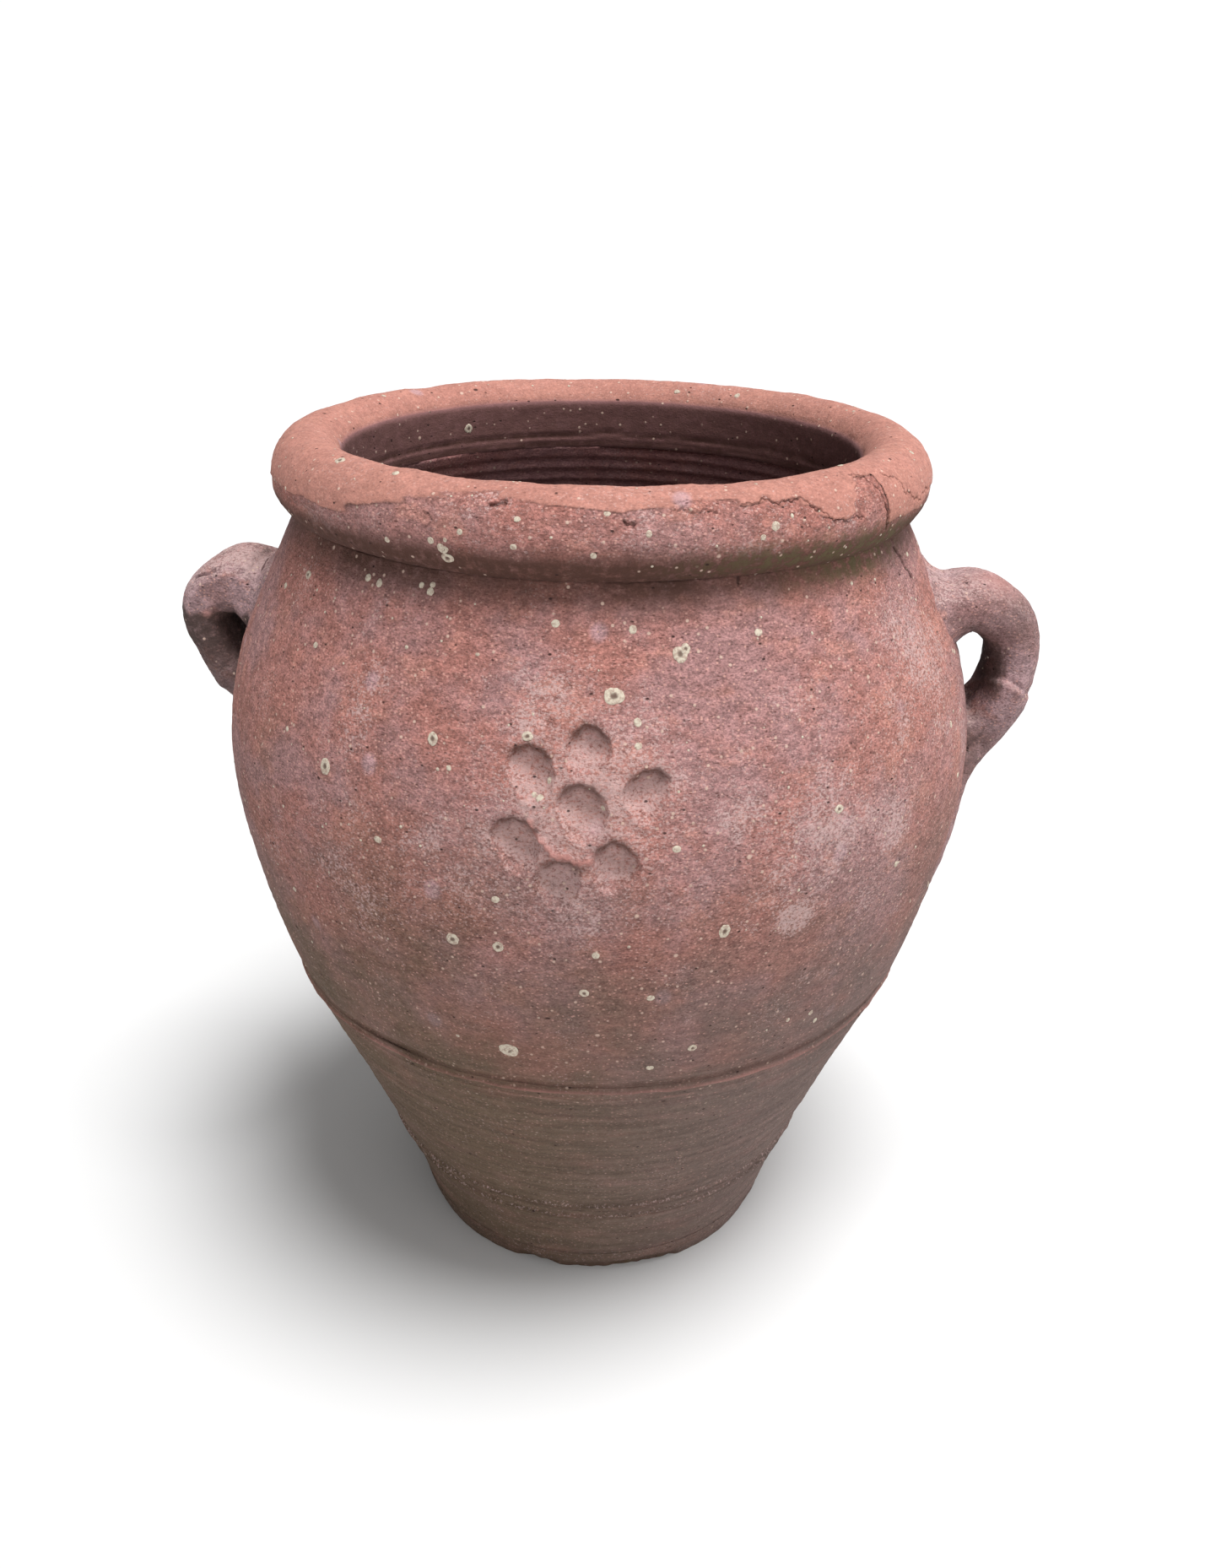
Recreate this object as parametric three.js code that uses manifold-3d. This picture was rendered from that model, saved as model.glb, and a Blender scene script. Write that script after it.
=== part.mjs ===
// Olive jar: a two-handled terracotta storage jar, thrown in stages and luted together wet.
// Millimetres, +Z up, origin on the ground under the middle of the base. The finger-pressed
// rosette faces -Y and the handles lie close to the X axis.
import * as THREE from 'three';
import Module from 'manifold-3d';
import { mergeVertices } from 'three/addons/utils/BufferGeometryUtils.js';

const wasm = await Module();
wasm.setup();

// Outline of the outer wall: radii, and the rise from each station to the next one up
const bevelInset = 4;
const bevelRise = 12;
const footRadius = 121.5;
const waistRise = 40;
const waistRadius = 133;
const flankRise = 74;
const flankRadius = 162.6;
const hipRise = 100;
const hipRadius = 202.3;
const bellyRise = 108;
const bellyRadius = 223;
const shoulderRise = 62;
const shoulderRadius = 214.5;
const throatRise = 48;
const throatRadius = 193;
const neckRise = 38;
const neckRadius = 175;

// Clay thickness
const floorThickness = 18;
const footWall = 19;
const bodyWall = 14;
const neckWall = 28;
const coveRadius = 16;

// Joins between the thrown stages
const clearance = 0.3;
const scarfRise = 7;
const footJoinAboveWaist = 17;
const bellyJoinBelowHip = 19;

// Turned marks at the joins
const seamBeadHeight = 1.8;
const seamBeadWidth = 9;
const seamGrooveDepth = 1.2;
const seamGrooveWidth = 9;
const turnedRidgeHeight = 1.2;
const turnedRidgeWidth = 7;
const turnedRidgePitch = 12;

// Throwing rings inside the shoulder
const ringCount = 7;
const ringPitch = 9;
const ringDepth = 1.7;
const ringsBelowNeck = 2;

// Rolled rim
const rollWidth = 41;
const rollHeight = 44.6;
const rollOffset = 8.8;
const rollSink = 2.5;
const mouthEdge = 1.5;

// Strap handles, a pair on one diameter; the left one was set a little shorter
const handleTurnDegrees = -5.5;
const crownAboveShoulder = 32;
const rightFingerGap = 20;
const leftFingerGap = 17.5;
const rightGapHeight = 46;
const leftGapHeight = 31;
const rightRootDrop = 0;
const leftRootDrop = 9;
const strapWidth = 54;
const strapThickness = 28;
const rootWidth = 76;
const rootHeight = 52;
const clayRoundness = 2.5;

// Wad of clay thumbed round the lower end of each strap and wiped down the wall as a tail
const rightWadWidth = 80;
const leftWadWidth = 62;
const rightWadProud = 26;
const leftWadProud = 14;
const wadHeight = 28;
const tailLength = 72;
const tailWidth = 68;
const tailProud = 3;
const tailLean = 48;
const thumbWidth = 22;
const thumbDepth = 6;

// Rosette of fingertip presses: six petals round a middle one, each by its degrees and reach
const fingerWidth = 29;
const fingerTiltDegrees = 26;
const pressDepth = 5.5;
const rosetteTurnDegrees = -2;
const rosetteAboveBelly = 52;
const petals = [[15, 31], [82, 28], [145, 30], [207, 34], [246, 36], [300, 31]];

// Facets
const turnSegments = 56;
const rowSpacing = 24;
const rollSegments = 20;
const strapRings = 22;
const strapSides = 14;
const wadRings = 14;
const wadSides = 24;

const wallStations = [[footRadius, bevelRise]];
for (const [radius, rise] of [
  [waistRadius, waistRise], [flankRadius, flankRise], [hipRadius, hipRise], [bellyRadius, bellyRise],
  [shoulderRadius, shoulderRise], [throatRadius, throatRise], [neckRadius, neckRise],
]) {
  wallStations.push([radius, wallStations.at(-1)[1] + rise]);
}
const stationHeights = wallStations.map(([, height]) => height);
const [, waistHeight, , hipHeight, bellyHeight, shoulderHeight, , neckHeight] = stationHeights;
const footJoinHeight = waistHeight + footJoinAboveWaist;
const bellyJoinHeight = hipHeight - bellyJoinBelowHip;

const wallCurve = new THREE.CatmullRomCurve3(
  wallStations.map(([radius, height]) => new THREE.Vector3(radius, 0, height)), false, 'centripetal');

// Radius of the smooth outer wall at a height, found by halving the curve's parameter
function wallRadius(height) {
  let low = 0;
  let high = 1;
  for (let step = 0; step < 40; step += 1) {
    const middle = (low + high) / 2;
    if (wallCurve.getPoint(middle).z < height) low = middle;
    else high = middle;
  }
  return wallCurve.getPoint(low).x;
}

// Thickness of the wall at a height: thick at the foot, even up the body, thick again at the neck
function wallThickness(height) {
  const footShare = 1 - THREE.MathUtils.smoothstep(height, bevelRise, hipHeight);
  const neckShare = THREE.MathUtils.smoothstep(height, shoulderHeight, neckHeight);
  return bodyWall + (footWall - bodyWall) * footShare + (neckWall - bodyWall) * neckShare;
}

// A turned mark is a raised or sunk band with a rounded section
const turnedMarks = [
  { height: bellyJoinHeight - seamBeadWidth / 2, width: seamBeadWidth, lift: seamBeadHeight },
  { height: bellyJoinHeight + seamGrooveWidth / 2, width: seamGrooveWidth, lift: -seamGrooveDepth },
  { height: footJoinHeight + turnedRidgePitch / 2, width: turnedRidgeWidth, lift: turnedRidgeHeight },
  { height: footJoinHeight - turnedRidgePitch / 2, width: turnedRidgeWidth, lift: turnedRidgeHeight },
];

function markedRadius(height) {
  return turnedMarks.reduce((radius, mark) => {
    const share = Math.min(Math.abs(height - mark.height) / mark.width * 2, 1);
    return radius + mark.lift * (1 + Math.cos(Math.PI * share)) / 2;
  }, wallRadius(height));
}

function innerRadius(height) {
  const belowRings = neckHeight - ringsBelowNeck - height;
  const ringed = belowRings > 0 && belowRings < ringCount * ringPitch;
  const ripple = ringed ? ringDepth * (1 - Math.cos(2 * Math.PI * belowRings / ringPitch)) / 2 : 0;
  return wallRadius(height) - wallThickness(height) + ripple;
}

// Heights of the profile's rows: even steps between the joins, and closer ones across a detail
function rowHeights(edges, details) {
  const even = edges.slice(1).flatMap((high, stage) => {
    const low = edges[stage];
    const count = Math.max(1, Math.round((high - low) / rowSpacing));
    return Array.from({ length: count }, (_, row) => low + (high - low) * row / count);
  });
  const clearOfDetails = even.filter(
    (height) => details.every((detail) => Math.abs(detail - height) > rowSpacing / 4));
  return [...clearOfDetails, ...details].sort((a, b) => a - b);
}

const stageEdges = [bevelRise, footJoinHeight, bellyJoinHeight, neckHeight];
const outerRows = rowHeights(stageEdges, turnedMarks.flatMap(
  ({ height, width }) => [-width / 2, 0, width / 2].map((offset) => height + offset)));
const innerRows = rowHeights(stageEdges, Array.from({ length: 3 * ringCount + 1 },
  (_, step) => neckHeight - ringsBelowNeck - step * ringPitch / 3));

function rowsBetween(rows, low, high) {
  const nearest = 1;
  return [low, ...rows.filter((height) => height > low + nearest && height < high - nearest), high];
}

function turned(profile) {
  const points = profile.map(([radius, height]) => new THREE.Vector2(radius, height));
  const closesOnAxis = profile[0][0] === 0 && profile.at(-1)[0] === 0;
  if (!closesOnAxis) points.push(points[0].clone());
  return new THREE.LatheGeometry(points, turnSegments).rotateX(Math.PI / 2);
}

// One thrown stage of the wall; its joins rise towards the inside, so each stage laps the one below
function wallStage(low, high, lowScarf, highScarf) {
  const outer = rowsBetween(outerRows, low, high).map((height) => [markedRadius(height), height]);
  const inner = rowsBetween(innerRows, low + lowScarf, high + highScarf)
    .map((height) => [innerRadius(height), height]);
  return [...outer, ...inner.reverse()];
}

function toSolid(geometry) {
  const bare = geometry.clone();
  bare.deleteAttribute('normal');
  bare.deleteAttribute('uv');
  const merged = mergeVertices(bare, 1e-4);
  return new wasm.Manifold(new wasm.Mesh({
    numProp: 3,
    vertProperties: new Float32Array(merged.attributes.position.array),
    triVerts: new Uint32Array(merged.index.array),
  }));
}

function toGeometry(solid) {
  const { vertProperties, triVerts } = solid.getMesh();
  const geometry = new THREE.BufferGeometry();
  geometry.setAttribute('position', new THREE.BufferAttribute(vertProperties, 3));
  geometry.setIndex(new THREE.BufferAttribute(triVerts, 1));
  geometry.computeVertexNormals();
  return geometry;
}

// Skin over a row of closed rings with the same number of points, capped at both ends
function lofted(rings) {
  const sides = rings[0].length;
  const middle = (ring) => ring.reduce((sum, point) => sum.add(point), new THREE.Vector3())
    .divideScalar(ring.length);
  const points = [...rings.flat(), middle(rings[0]), middle(rings.at(-1))];
  const index = [];
  for (let side = 0; side < sides; side += 1) {
    const next = (side + 1) % sides;
    for (let ring = 0; ring < rings.length - 1; ring += 1) {
      const here = ring * sides;
      const above = here + sides;
      index.push(here + side, here + next, above + next, here + side, above + next, above + side);
    }
    const last = (rings.length - 1) * sides;
    index.push(points.length - 2, next, side, points.length - 1, last + side, last + next);
  }
  const geometry = new THREE.BufferGeometry().setFromPoints(points);
  geometry.setIndex(index);
  return geometry;
}

// The space that the jar itself fills, a little larger, for cutting what is luted on to it
function bodyEnvelope() {
  const outline = rowsBetween(outerRows, bevelRise, neckHeight)
    .map((height) => [markedRadius(height) + clearance, height]);
  return toSolid(turned([[0, bevelRise], ...outline, [0, neckHeight]]));
}

function baseDisc() {
  const top = floorThickness;
  return turned([
    [0, 0], [footRadius - bevelInset, 0], [footRadius, bevelRise],
    [markedRadius(top), top], [0, top],
  ]);
}

// First stage: it stands on the disc, with a coil pressed into the corner inside as a cove
function footStage() {
  const low = floorThickness + clearance;
  const wall = wallStage(low, footJoinHeight - clearance / 2, coveRadius, scarfRise);
  const toe = innerRadius(low + coveRadius);
  const cove = [30, 60, 84].map((degrees) => {
    const angle = THREE.MathUtils.degToRad(degrees);
    return [toe - coveRadius * (1 - Math.cos(angle)), low + coveRadius * (1 - Math.sin(angle))];
  });
  return turned([...wall, ...cove, [cove.at(-1)[0], low]]);
}

function lowerStage() {
  return turned(wallStage(footJoinHeight + clearance / 2, bellyJoinHeight - clearance / 2,
    scarfRise, scarfRise));
}

// A fingertip is a round-ended capsule that points up the wall and leans into it
function fingertip(across, up) {
  const height = bellyHeight + rosetteAboveBelly + up;
  const radius = fingerWidth / 2;
  const wallLean = Math.atan(wallRadius(height + 1 / 2) - wallRadius(height - 1 / 2));
  const tip = new THREE.CapsuleGeometry(radius, fingerWidth, 5, 14).rotateX(Math.PI / 2);
  tip.translate(0, 0, -fingerWidth / 2);
  tip.rotateX(wallLean - THREE.MathUtils.degToRad(fingerTiltDegrees));
  tip.translate(0, -wallRadius(height) - radius + pressDepth, height);
  return tip.rotateZ(THREE.MathUtils.degToRad(rosetteTurnDegrees) + across / wallRadius(height));
}

// Belly and shoulder in one stage, with the rosette pressed into the soft wall
function upperStage() {
  const places = petals.map(([degrees, reach]) => {
    const angle = THREE.MathUtils.degToRad(degrees);
    return [reach * Math.cos(angle), reach * Math.sin(angle)];
  });
  const wall = toSolid(turned(wallStage(bellyJoinHeight + clearance / 2, neckHeight, scarfRise, 0)));
  return toGeometry([[0, 0], ...places].reduce(
    (clay, [across, up]) => clay.subtract(toSolid(fingertip(across, up))), wall));
}

function rimRoll() {
  const middleRadius = neckRadius - rollOffset;
  const middleHeight = neckHeight - rollSink + rollHeight / 2;
  const seatHeight = neckHeight + clearance;
  const mouthRadius = neckRadius - neckWall;
  const seatAngle = Math.asin((seatHeight - middleHeight) / (rollHeight / 2));
  const edgeAngle = Math.acos((mouthRadius + mouthEdge - middleRadius) / (rollWidth / 2));
  const coil = Array.from({ length: rollSegments + 1 }, (_, step) => {
    const angle = seatAngle + (edgeAngle - seatAngle) * step / rollSegments;
    return [
      middleRadius + rollWidth / 2 * Math.cos(angle),
      middleHeight + rollHeight / 2 * Math.sin(angle),
    ];
  });
  const innerFace = [[mouthRadius, coil.at(-1)[1] - 2 * mouthEdge], [mouthRadius, seatHeight]];
  return turned([...coil, ...innerFace]);
}

// A ring of clay with a section between round and square, on two axes across its middle
function clayRing(middle, across, acrossSize, beside, besideSize, sides) {
  const rounded = (value) => Math.sign(value) * Math.abs(value) ** (2 / clayRoundness);
  return Array.from({ length: sides }, (_, side) => {
    const angle = 2 * Math.PI * side / sides;
    return middle.clone().addScaledVector(across, acrossSize * rounded(Math.cos(angle)))
      .addScaledVector(beside, besideSize * rounded(Math.sin(angle)));
  });
}

const crownHeight = shoulderHeight + crownAboveShoulder;
const gapTop = crownHeight - strapThickness * 0.7;

// Middle line of a strap in its own upright plane, from the broad root in the wall over the
// arch to the end that is pressed on the wall, with the clay's half width and half thickness
function strapStations({ fingerGap, rootDrop, lip }) {
  const half = strapThickness / 2;
  const wide = strapWidth / 2;
  const widest = gapTop - (gapTop - lip) * 0.18;
  const outerLine = wallRadius(widest) + fingerGap + half;
  return [
    [wallRadius(crownHeight) - rootHeight / 2, crownHeight - half / 2, rootWidth / 2, rootHeight / 2],
    [wallRadius(crownHeight) + 2, crownHeight - half / 4 - rootDrop * 0.7,
      rootWidth * 0.41, rootHeight * 0.37 + rootDrop * 0.3],
    [(wallRadius(crownHeight) + outerLine) / 2 - 3, crownHeight - rootDrop / 2,
      wide * 1.06, half * 1.15 + rootDrop * 0.4],
    [outerLine - half * 0.52, crownHeight - half * 0.76, wide, half * 1.16],
    [outerLine - 1, widest, wide, half * 1.08],
    [outerLine - half * 0.3, lip + half * 0.75, wide, half],
    [wallRadius(lip) + half * 0.85, lip - half * 0.6, wide, half],
    [wallRadius(lip) - half, lip - half * 1.3, wide * 0.92, half * 0.92],
  ];
}

// A strap; its skin is grown all over where it cuts room for itself in the wad
function strapBlank(handle, growth) {
  const stations = strapStations(handle);
  const spine = new THREE.CatmullRomCurve3(
    stations.map(([radius, height]) => new THREE.Vector3(radius, 0, height)), false, 'centripetal');
  const sizes = new THREE.CatmullRomCurve3(
    stations.map(([, , width, thickness]) => new THREE.Vector3(width, thickness, 0)));
  return toSolid(lofted(Array.from({ length: strapRings + 1 }, (_, step) => {
    const share = step / strapRings;
    const along = spine.getTangent(share);
    const size = sizes.getPoint(share).addScalar(growth);
    return clayRing(spine.getPoint(share), new THREE.Vector3(-along.z, 0, along.x), size.y,
      new THREE.Vector3(0, -1, 0), size.x, strapSides);
  })));
}

// Sections of the wad from its lip down: height, how far it stands out of the wall, half width,
// and how far the tail has been wiped to one side
function wadStations({ lip, wadProud, wadWidth }) {
  const wide = wadWidth / 2;
  const tail = tailWidth / 2;
  const tailTop = lip - wadHeight;
  return [
    [lip, wadProud * 0.8, wide * 0.72, 0],
    [lip - wadHeight * 0.09, wadProud * 0.94, wide * 0.86, 0],
    [lip - wadHeight * 0.28, wadProud, wide * 0.95, 0],
    [lip - wadHeight * 0.6, wadProud * 0.58, wide, tailLean * 0.03],
    [tailTop, wadProud * 0.28, wide, tailLean * 0.12],
    [tailTop - tailLength * 0.2, tailProud * 2.1, tail, tailLean * 0.3],
    [tailTop - tailLength * 0.45, tailProud * 1.2, tail, tailLean * 0.56],
    [tailTop - tailLength * 0.75, tailProud * 0.8, tail * 0.8, tailLean * 0.82],
    [tailTop - tailLength, tailProud * 0.3, tail * 0.45, tailLean],
  ];
}

// The wad lies round the wall, so its sections are measured out from the wall and along it
function wadBlank(handle) {
  const stations = wadStations(handle);
  const places = new THREE.CatmullRomCurve3(
    stations.map(([height, , , lean]) => new THREE.Vector3(0, -lean, height)));
  const sizes = new THREE.CatmullRomCurve3(
    stations.map(([, proud, wide]) => new THREE.Vector3(proud, wide, 0)));
  const out = new THREE.Vector3(1, 0, 0);
  const along = new THREE.Vector3(0, 1, 0);
  const sunk = strapThickness / 4;
  return toSolid(lofted(Array.from({ length: wadRings + 1 }, (_, step) => {
    const share = 1 - step / wadRings;
    const { x: proud, y: wide } = sizes.getPoint(share);
    const middle = places.getPoint(share);
    const radius = wallRadius(middle.z);
    return clayRing(middle, out, proud + sunk, along, wide, wadSides).map(({ x, y, z }) => {
      const turn = y / radius;
      const reach = radius - sunk + x;
      return new THREE.Vector3(reach * Math.cos(turn), reach * Math.sin(turn), z);
    });
  })));
}

// The thumb that set the wad left one dent in its side, close under the lip
function thumb({ lip, wadWidth }) {
  const height = lip - thumbWidth / 2;
  const ball = new THREE.SphereGeometry(thumbWidth / 2, 16, 12);
  ball.translate(wallRadius(height) + strapThickness * 0.7,
    thumbDepth - wadWidth / 2 - thumbWidth / 2 + strapThickness / 4, height);
  return toSolid(ball);
}

function clay(name, geometry, color) {
  const material = new THREE.MeshStandardMaterial({ color, roughness: 0.95, metalness: 0 });
  const mesh = new THREE.Mesh(geometry, material);
  mesh.name = name;
  return mesh;
}

const jar = new THREE.Group();
jar.add(
  clay('base_disc', baseDisc(), 0x6f5a4e),
  clay('foot_wall', footStage(), 0x74604f),
  clay('lower_wall', lowerStage(), 0x7d6156),
  clay('upper_wall', upperStage(), 0xa0655b),
  clay('rim_roll', rimRoll(), 0xc07d69),
);

const handles = [
  {
    side: 'right',
    fingerGap: rightFingerGap,
    rootDrop: rightRootDrop,
    lip: gapTop - rightGapHeight,
    wadProud: rightWadProud,
    wadWidth: rightWadWidth,
    turn: THREE.MathUtils.degToRad(handleTurnDegrees),
  },
  {
    side: 'left',
    fingerGap: leftFingerGap,
    rootDrop: leftRootDrop,
    lip: gapTop - leftGapHeight,
    wadProud: leftWadProud,
    wadWidth: leftWadWidth,
    turn: THREE.MathUtils.degToRad(handleTurnDegrees) + Math.PI,
  },
];

const envelope = bodyEnvelope();
for (const handle of handles) {
  const strap = strapBlank(handle, 0).subtract(envelope);
  const wad = wadBlank(handle).subtract(strapBlank(handle, clearance)).subtract(thumb(handle))
    .subtract(envelope);
  const luted = new THREE.Group();
  luted.add(
    clay(`handle_${handle.side}`, toGeometry(strap), 0xa4665f),
    clay(`handle_wad_${handle.side}`, toGeometry(wad), 0x9a6a60),
  );
  luted.rotation.z = handle.turn;
  jar.add(luted);
}

export default jar;
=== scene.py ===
"""Olive jar: a weathered, hand-thrown terracotta storage jar with a rolled rim and strap handles.

Every stage of the jar is modelled again over its plain solid with the marks of the wheel, the
fingers and the weather, and dressed in bare fired clay. Lengths are millimetres until a mesh is
written, which is in metres. Azimuth 0 is the front, -Y, and azimuth grows towards +X.
"""
import logging
import math
from dataclasses import dataclass, field
from enum import Enum
from typing import Callable, Optional, Sequence

import bpy
import numpy as np
from mathutils import Matrix, Vector
from mathutils.bvhtree import BVHTree


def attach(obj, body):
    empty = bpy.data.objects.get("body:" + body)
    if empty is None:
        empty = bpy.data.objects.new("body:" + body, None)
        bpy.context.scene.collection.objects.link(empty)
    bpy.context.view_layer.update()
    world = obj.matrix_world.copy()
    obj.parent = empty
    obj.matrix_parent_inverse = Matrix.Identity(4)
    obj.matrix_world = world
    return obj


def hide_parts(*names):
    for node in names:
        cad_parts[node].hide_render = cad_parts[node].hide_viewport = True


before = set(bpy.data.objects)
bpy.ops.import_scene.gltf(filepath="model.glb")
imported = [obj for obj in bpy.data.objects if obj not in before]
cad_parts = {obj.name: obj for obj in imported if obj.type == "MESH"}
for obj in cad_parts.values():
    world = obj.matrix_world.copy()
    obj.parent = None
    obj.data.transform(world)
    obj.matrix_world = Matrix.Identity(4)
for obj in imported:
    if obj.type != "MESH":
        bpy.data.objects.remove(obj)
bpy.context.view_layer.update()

LOG = logging.getLogger("olive_jar")
MM = 0.001
DOUBLED = 0.02 * MM
Colour = tuple[float, float, float, float]


class Side(Enum):
    """The two ends of the handles' diameter, as the sign of X."""

    RIGHT = 1
    LEFT = -1


# Small helpers


def clay_colour(red: int, green: int, blue: int) -> Colour:
    """Turns a colour as seen on a screen into a linear one.

    Args:
        red: Red, 0 to 255.
        green: Green, 0 to 255.
        blue: Blue, 0 to 255.

    Returns:
        The linear colour with full alpha.
    """
    def linear(value: int) -> float:
        """Gives one linear channel."""
        share = value / 255
        return share / 12.92 if share <= 0.04045 else ((share + 0.055) / 1.055) ** 2.4

    return (linear(red), linear(green), linear(blue), 1.0)


def smooth_step(value: np.ndarray, low: float, high: float) -> np.ndarray:
    """Rises smoothly from 0 at low to 1 at high, or falls where low is the larger.

    Args:
        value: The values to weigh.
        low: Where the result is 0.
        high: Where the result is 1.

    Returns:
        An array between 0 and 1.
    """
    share = np.clip((value - low) / (high - low), 0, 1)
    return share * share * (3 - 2 * share)


def between(value: np.ndarray, low: float, full: float, thin: float, high: float) -> np.ndarray:
    """Rises from 0 at low to 1 at full, and falls from 1 at thin to 0 at high."""
    return smooth_step(value, low, full) * smooth_step(value, high, thin)


def hump(value: np.ndarray, middle: float, half_width: float) -> np.ndarray:
    """Gives a soft bell that is 1 at the middle and about a third at the half width."""
    return np.exp(-((value - middle) / half_width) ** 2)


def wander(angle: np.ndarray, seed: int, slowest: int = 2, waves: int = 14) -> np.ndarray:
    """Wanders between about -1 and 1 round the jar and meets itself at the back.

    Args:
        angle: Azimuths in radians.
        seed: Which of the wandering lines it is.
        slowest: Waves of the slowest swing round the jar.
        waves: How many swings are added up.

    Returns:
        The line's height at each azimuth.
    """
    chance = np.random.default_rng(seed)
    line = np.zeros_like(angle)
    total = 0.0
    for step in range(waves):
        turns = slowest + step * 3 + int(chance.integers(0, 3))
        weight = 1 / (1 + 0.35 * step)
        line += weight * np.sin(turns * angle + chance.uniform(0, 2 * math.pi))
        total += weight * weight
    return line / math.sqrt(2 * total)


class SmoothLine:
    """Centripetal Catmull-Rom line through points of any dimension."""

    def __init__(self, points: Sequence[Sequence[float]]) -> None:
        """Works out the cubic of each stretch.

        Args:
            points: The points that the line passes through.
        """
        knots = np.array(points, float)
        ends = (2 * knots[0] - knots[1], 2 * knots[-1] - knots[-2])
        knots = np.vstack([ends[0], knots, ends[1]])
        gaps = np.maximum(np.linalg.norm(np.diff(knots, axis=0), axis=1) ** 0.5, 1e-4)
        cubics = []
        for first in range(len(knots) - 3):
            before, start, stop, after = knots[first:first + 4]
            gap_before, gap, gap_after = gaps[first:first + 3]
            leave = ((start - before) / gap_before - (stop - before) / (gap_before + gap)
                     + (stop - start) / gap) * gap
            arrive = ((stop - start) / gap - (after - start) / (gap + gap_after)
                      + (after - stop) / gap_after) * gap
            cubics.append([start, leave, 3 * (stop - start) - 2 * leave - arrive,
                           2 * (start - stop) + leave + arrive])
        self.cubics = np.array(cubics)

    def at(self, shares: np.ndarray) -> np.ndarray:
        """Gives the points at shares from 0 to 1 of the line's stretches.

        Args:
            shares: Where on the line, from 0 to 1.

        Returns:
            One row for each share.
        """
        place = np.clip(np.asarray(shares, float), 0, 1) * len(self.cubics)
        stretch = np.minimum(place.astype(int), len(self.cubics) - 1)
        along = (place - stretch)[:, None]
        base, first, second, third = np.moveaxis(self.cubics[stretch], 1, 0)
        return base + along * (first + along * (second + along * third))


# Meshes


def only(piece: bpy.types.Object) -> None:
    """Makes one object the only selected one, and the active one.

    Args:
        piece: The object.
    """
    if bpy.context.object and bpy.context.object.mode != "OBJECT":
        bpy.ops.object.mode_set(mode="OBJECT")
    bpy.ops.object.select_all(action="DESELECT")
    piece.select_set(True)
    bpy.context.view_layer.objects.active = piece


def points_of(piece: bpy.types.Object) -> np.ndarray:
    """Reads a mesh's points.

    Args:
        piece: The mesh object.

    Returns:
        One row for each point, in millimetres.
    """
    flat = np.empty(len(piece.data.vertices) * 3, np.float32)
    piece.data.vertices.foreach_get("co", flat)
    return flat.reshape(-1, 3).astype(float) / MM


def move_points(piece: bpy.types.Object, points: np.ndarray) -> None:
    """Writes a mesh's points, given in millimetres."""
    piece.data.vertices.foreach_set("co", (points * MM).astype(np.float32).ravel())
    piece.data.update()


def normals_of(piece: bpy.types.Object) -> np.ndarray:
    """Reads a mesh's normals.

    Args:
        piece: The mesh object.

    Returns:
        One row for each point.
    """
    flat = np.empty(len(piece.data.vertices) * 3, np.float32)
    piece.data.vertex_normals.foreach_get("vector", flat)
    return flat.reshape(-1, 3).astype(float)


def mark(piece: bpy.types.Object, name: str, values: np.ndarray) -> None:
    """Keeps one number for each point under a name that the clay's nodes read.

    Args:
        piece: The mesh object.
        name: The attribute's name.
        values: One value for each point.
    """
    layer = piece.data.attributes.new(name, "FLOAT", "POINT")
    layer.data.foreach_set("value", values.astype(np.float32))


def keep(piece: bpy.types.Object, **layers: np.ndarray) -> None:
    """Keeps how strong each layer of dirt, bloom, wear, painted shade and painted highlight is,
    from 0 to 1.
    """
    for name, values in layers.items():
        mark(piece, name, np.clip(values, 0, 1))


def refine(piece: bpy.types.Object, chosen: np.ndarray, cuts: int) -> None:
    """Cuts some of a piece's faces finer, where small marks are modelled.

    Args:
        piece: The mesh object.
        chosen: Which of its points bound the faces.
        cuts: New edges across each face.
    """
    only(piece)
    bpy.ops.object.mode_set(mode="EDIT")
    bpy.ops.mesh.select_mode(type="VERT")
    bpy.ops.mesh.select_all(action="DESELECT")
    bpy.ops.object.mode_set(mode="OBJECT")
    piece.data.vertices.foreach_set("select", chosen)
    bpy.ops.object.mode_set(mode="EDIT")
    bpy.ops.mesh.subdivide(number_cuts=cuts)
    bpy.ops.object.mode_set(mode="OBJECT")


def close_up(piece: bpy.types.Object) -> None:
    """Merges doubled points, closes open ends and turns every face outwards.

    Args:
        piece: The mesh object.
    """
    only(piece)
    bpy.ops.object.mode_set(mode="EDIT")
    bpy.ops.mesh.select_all(action="SELECT")
    bpy.ops.mesh.remove_doubles(threshold=DOUBLED)
    bpy.ops.mesh.fill_holes(sides=0)
    bpy.ops.mesh.normals_make_consistent(inside=False)
    bpy.ops.object.mode_set(mode="OBJECT")


def rolled_out(name: str, rings: int, sides: int,
               place: Callable[[np.ndarray, np.ndarray], np.ndarray]) -> bpy.types.Object:
    """Rolls a fine sheet up into a closed sausage of clay.

    Args:
        name: The piece's name.
        rings: Faces along it.
        sides: Faces round it.
        place: Gives points from shares along it and angles round it.

    Returns:
        The closed piece.
    """
    bpy.ops.object.select_all(action="DESELECT")
    bpy.ops.mesh.primitive_grid_add(x_subdivisions=rings, y_subdivisions=sides, size=2)
    piece = bpy.context.object
    piece.name = name
    flat = points_of(piece) * MM
    move_points(piece, place((flat[:, 0] + 1) / 2, (flat[:, 1] + 1) * math.pi))
    close_up(piece)
    return piece


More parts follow.
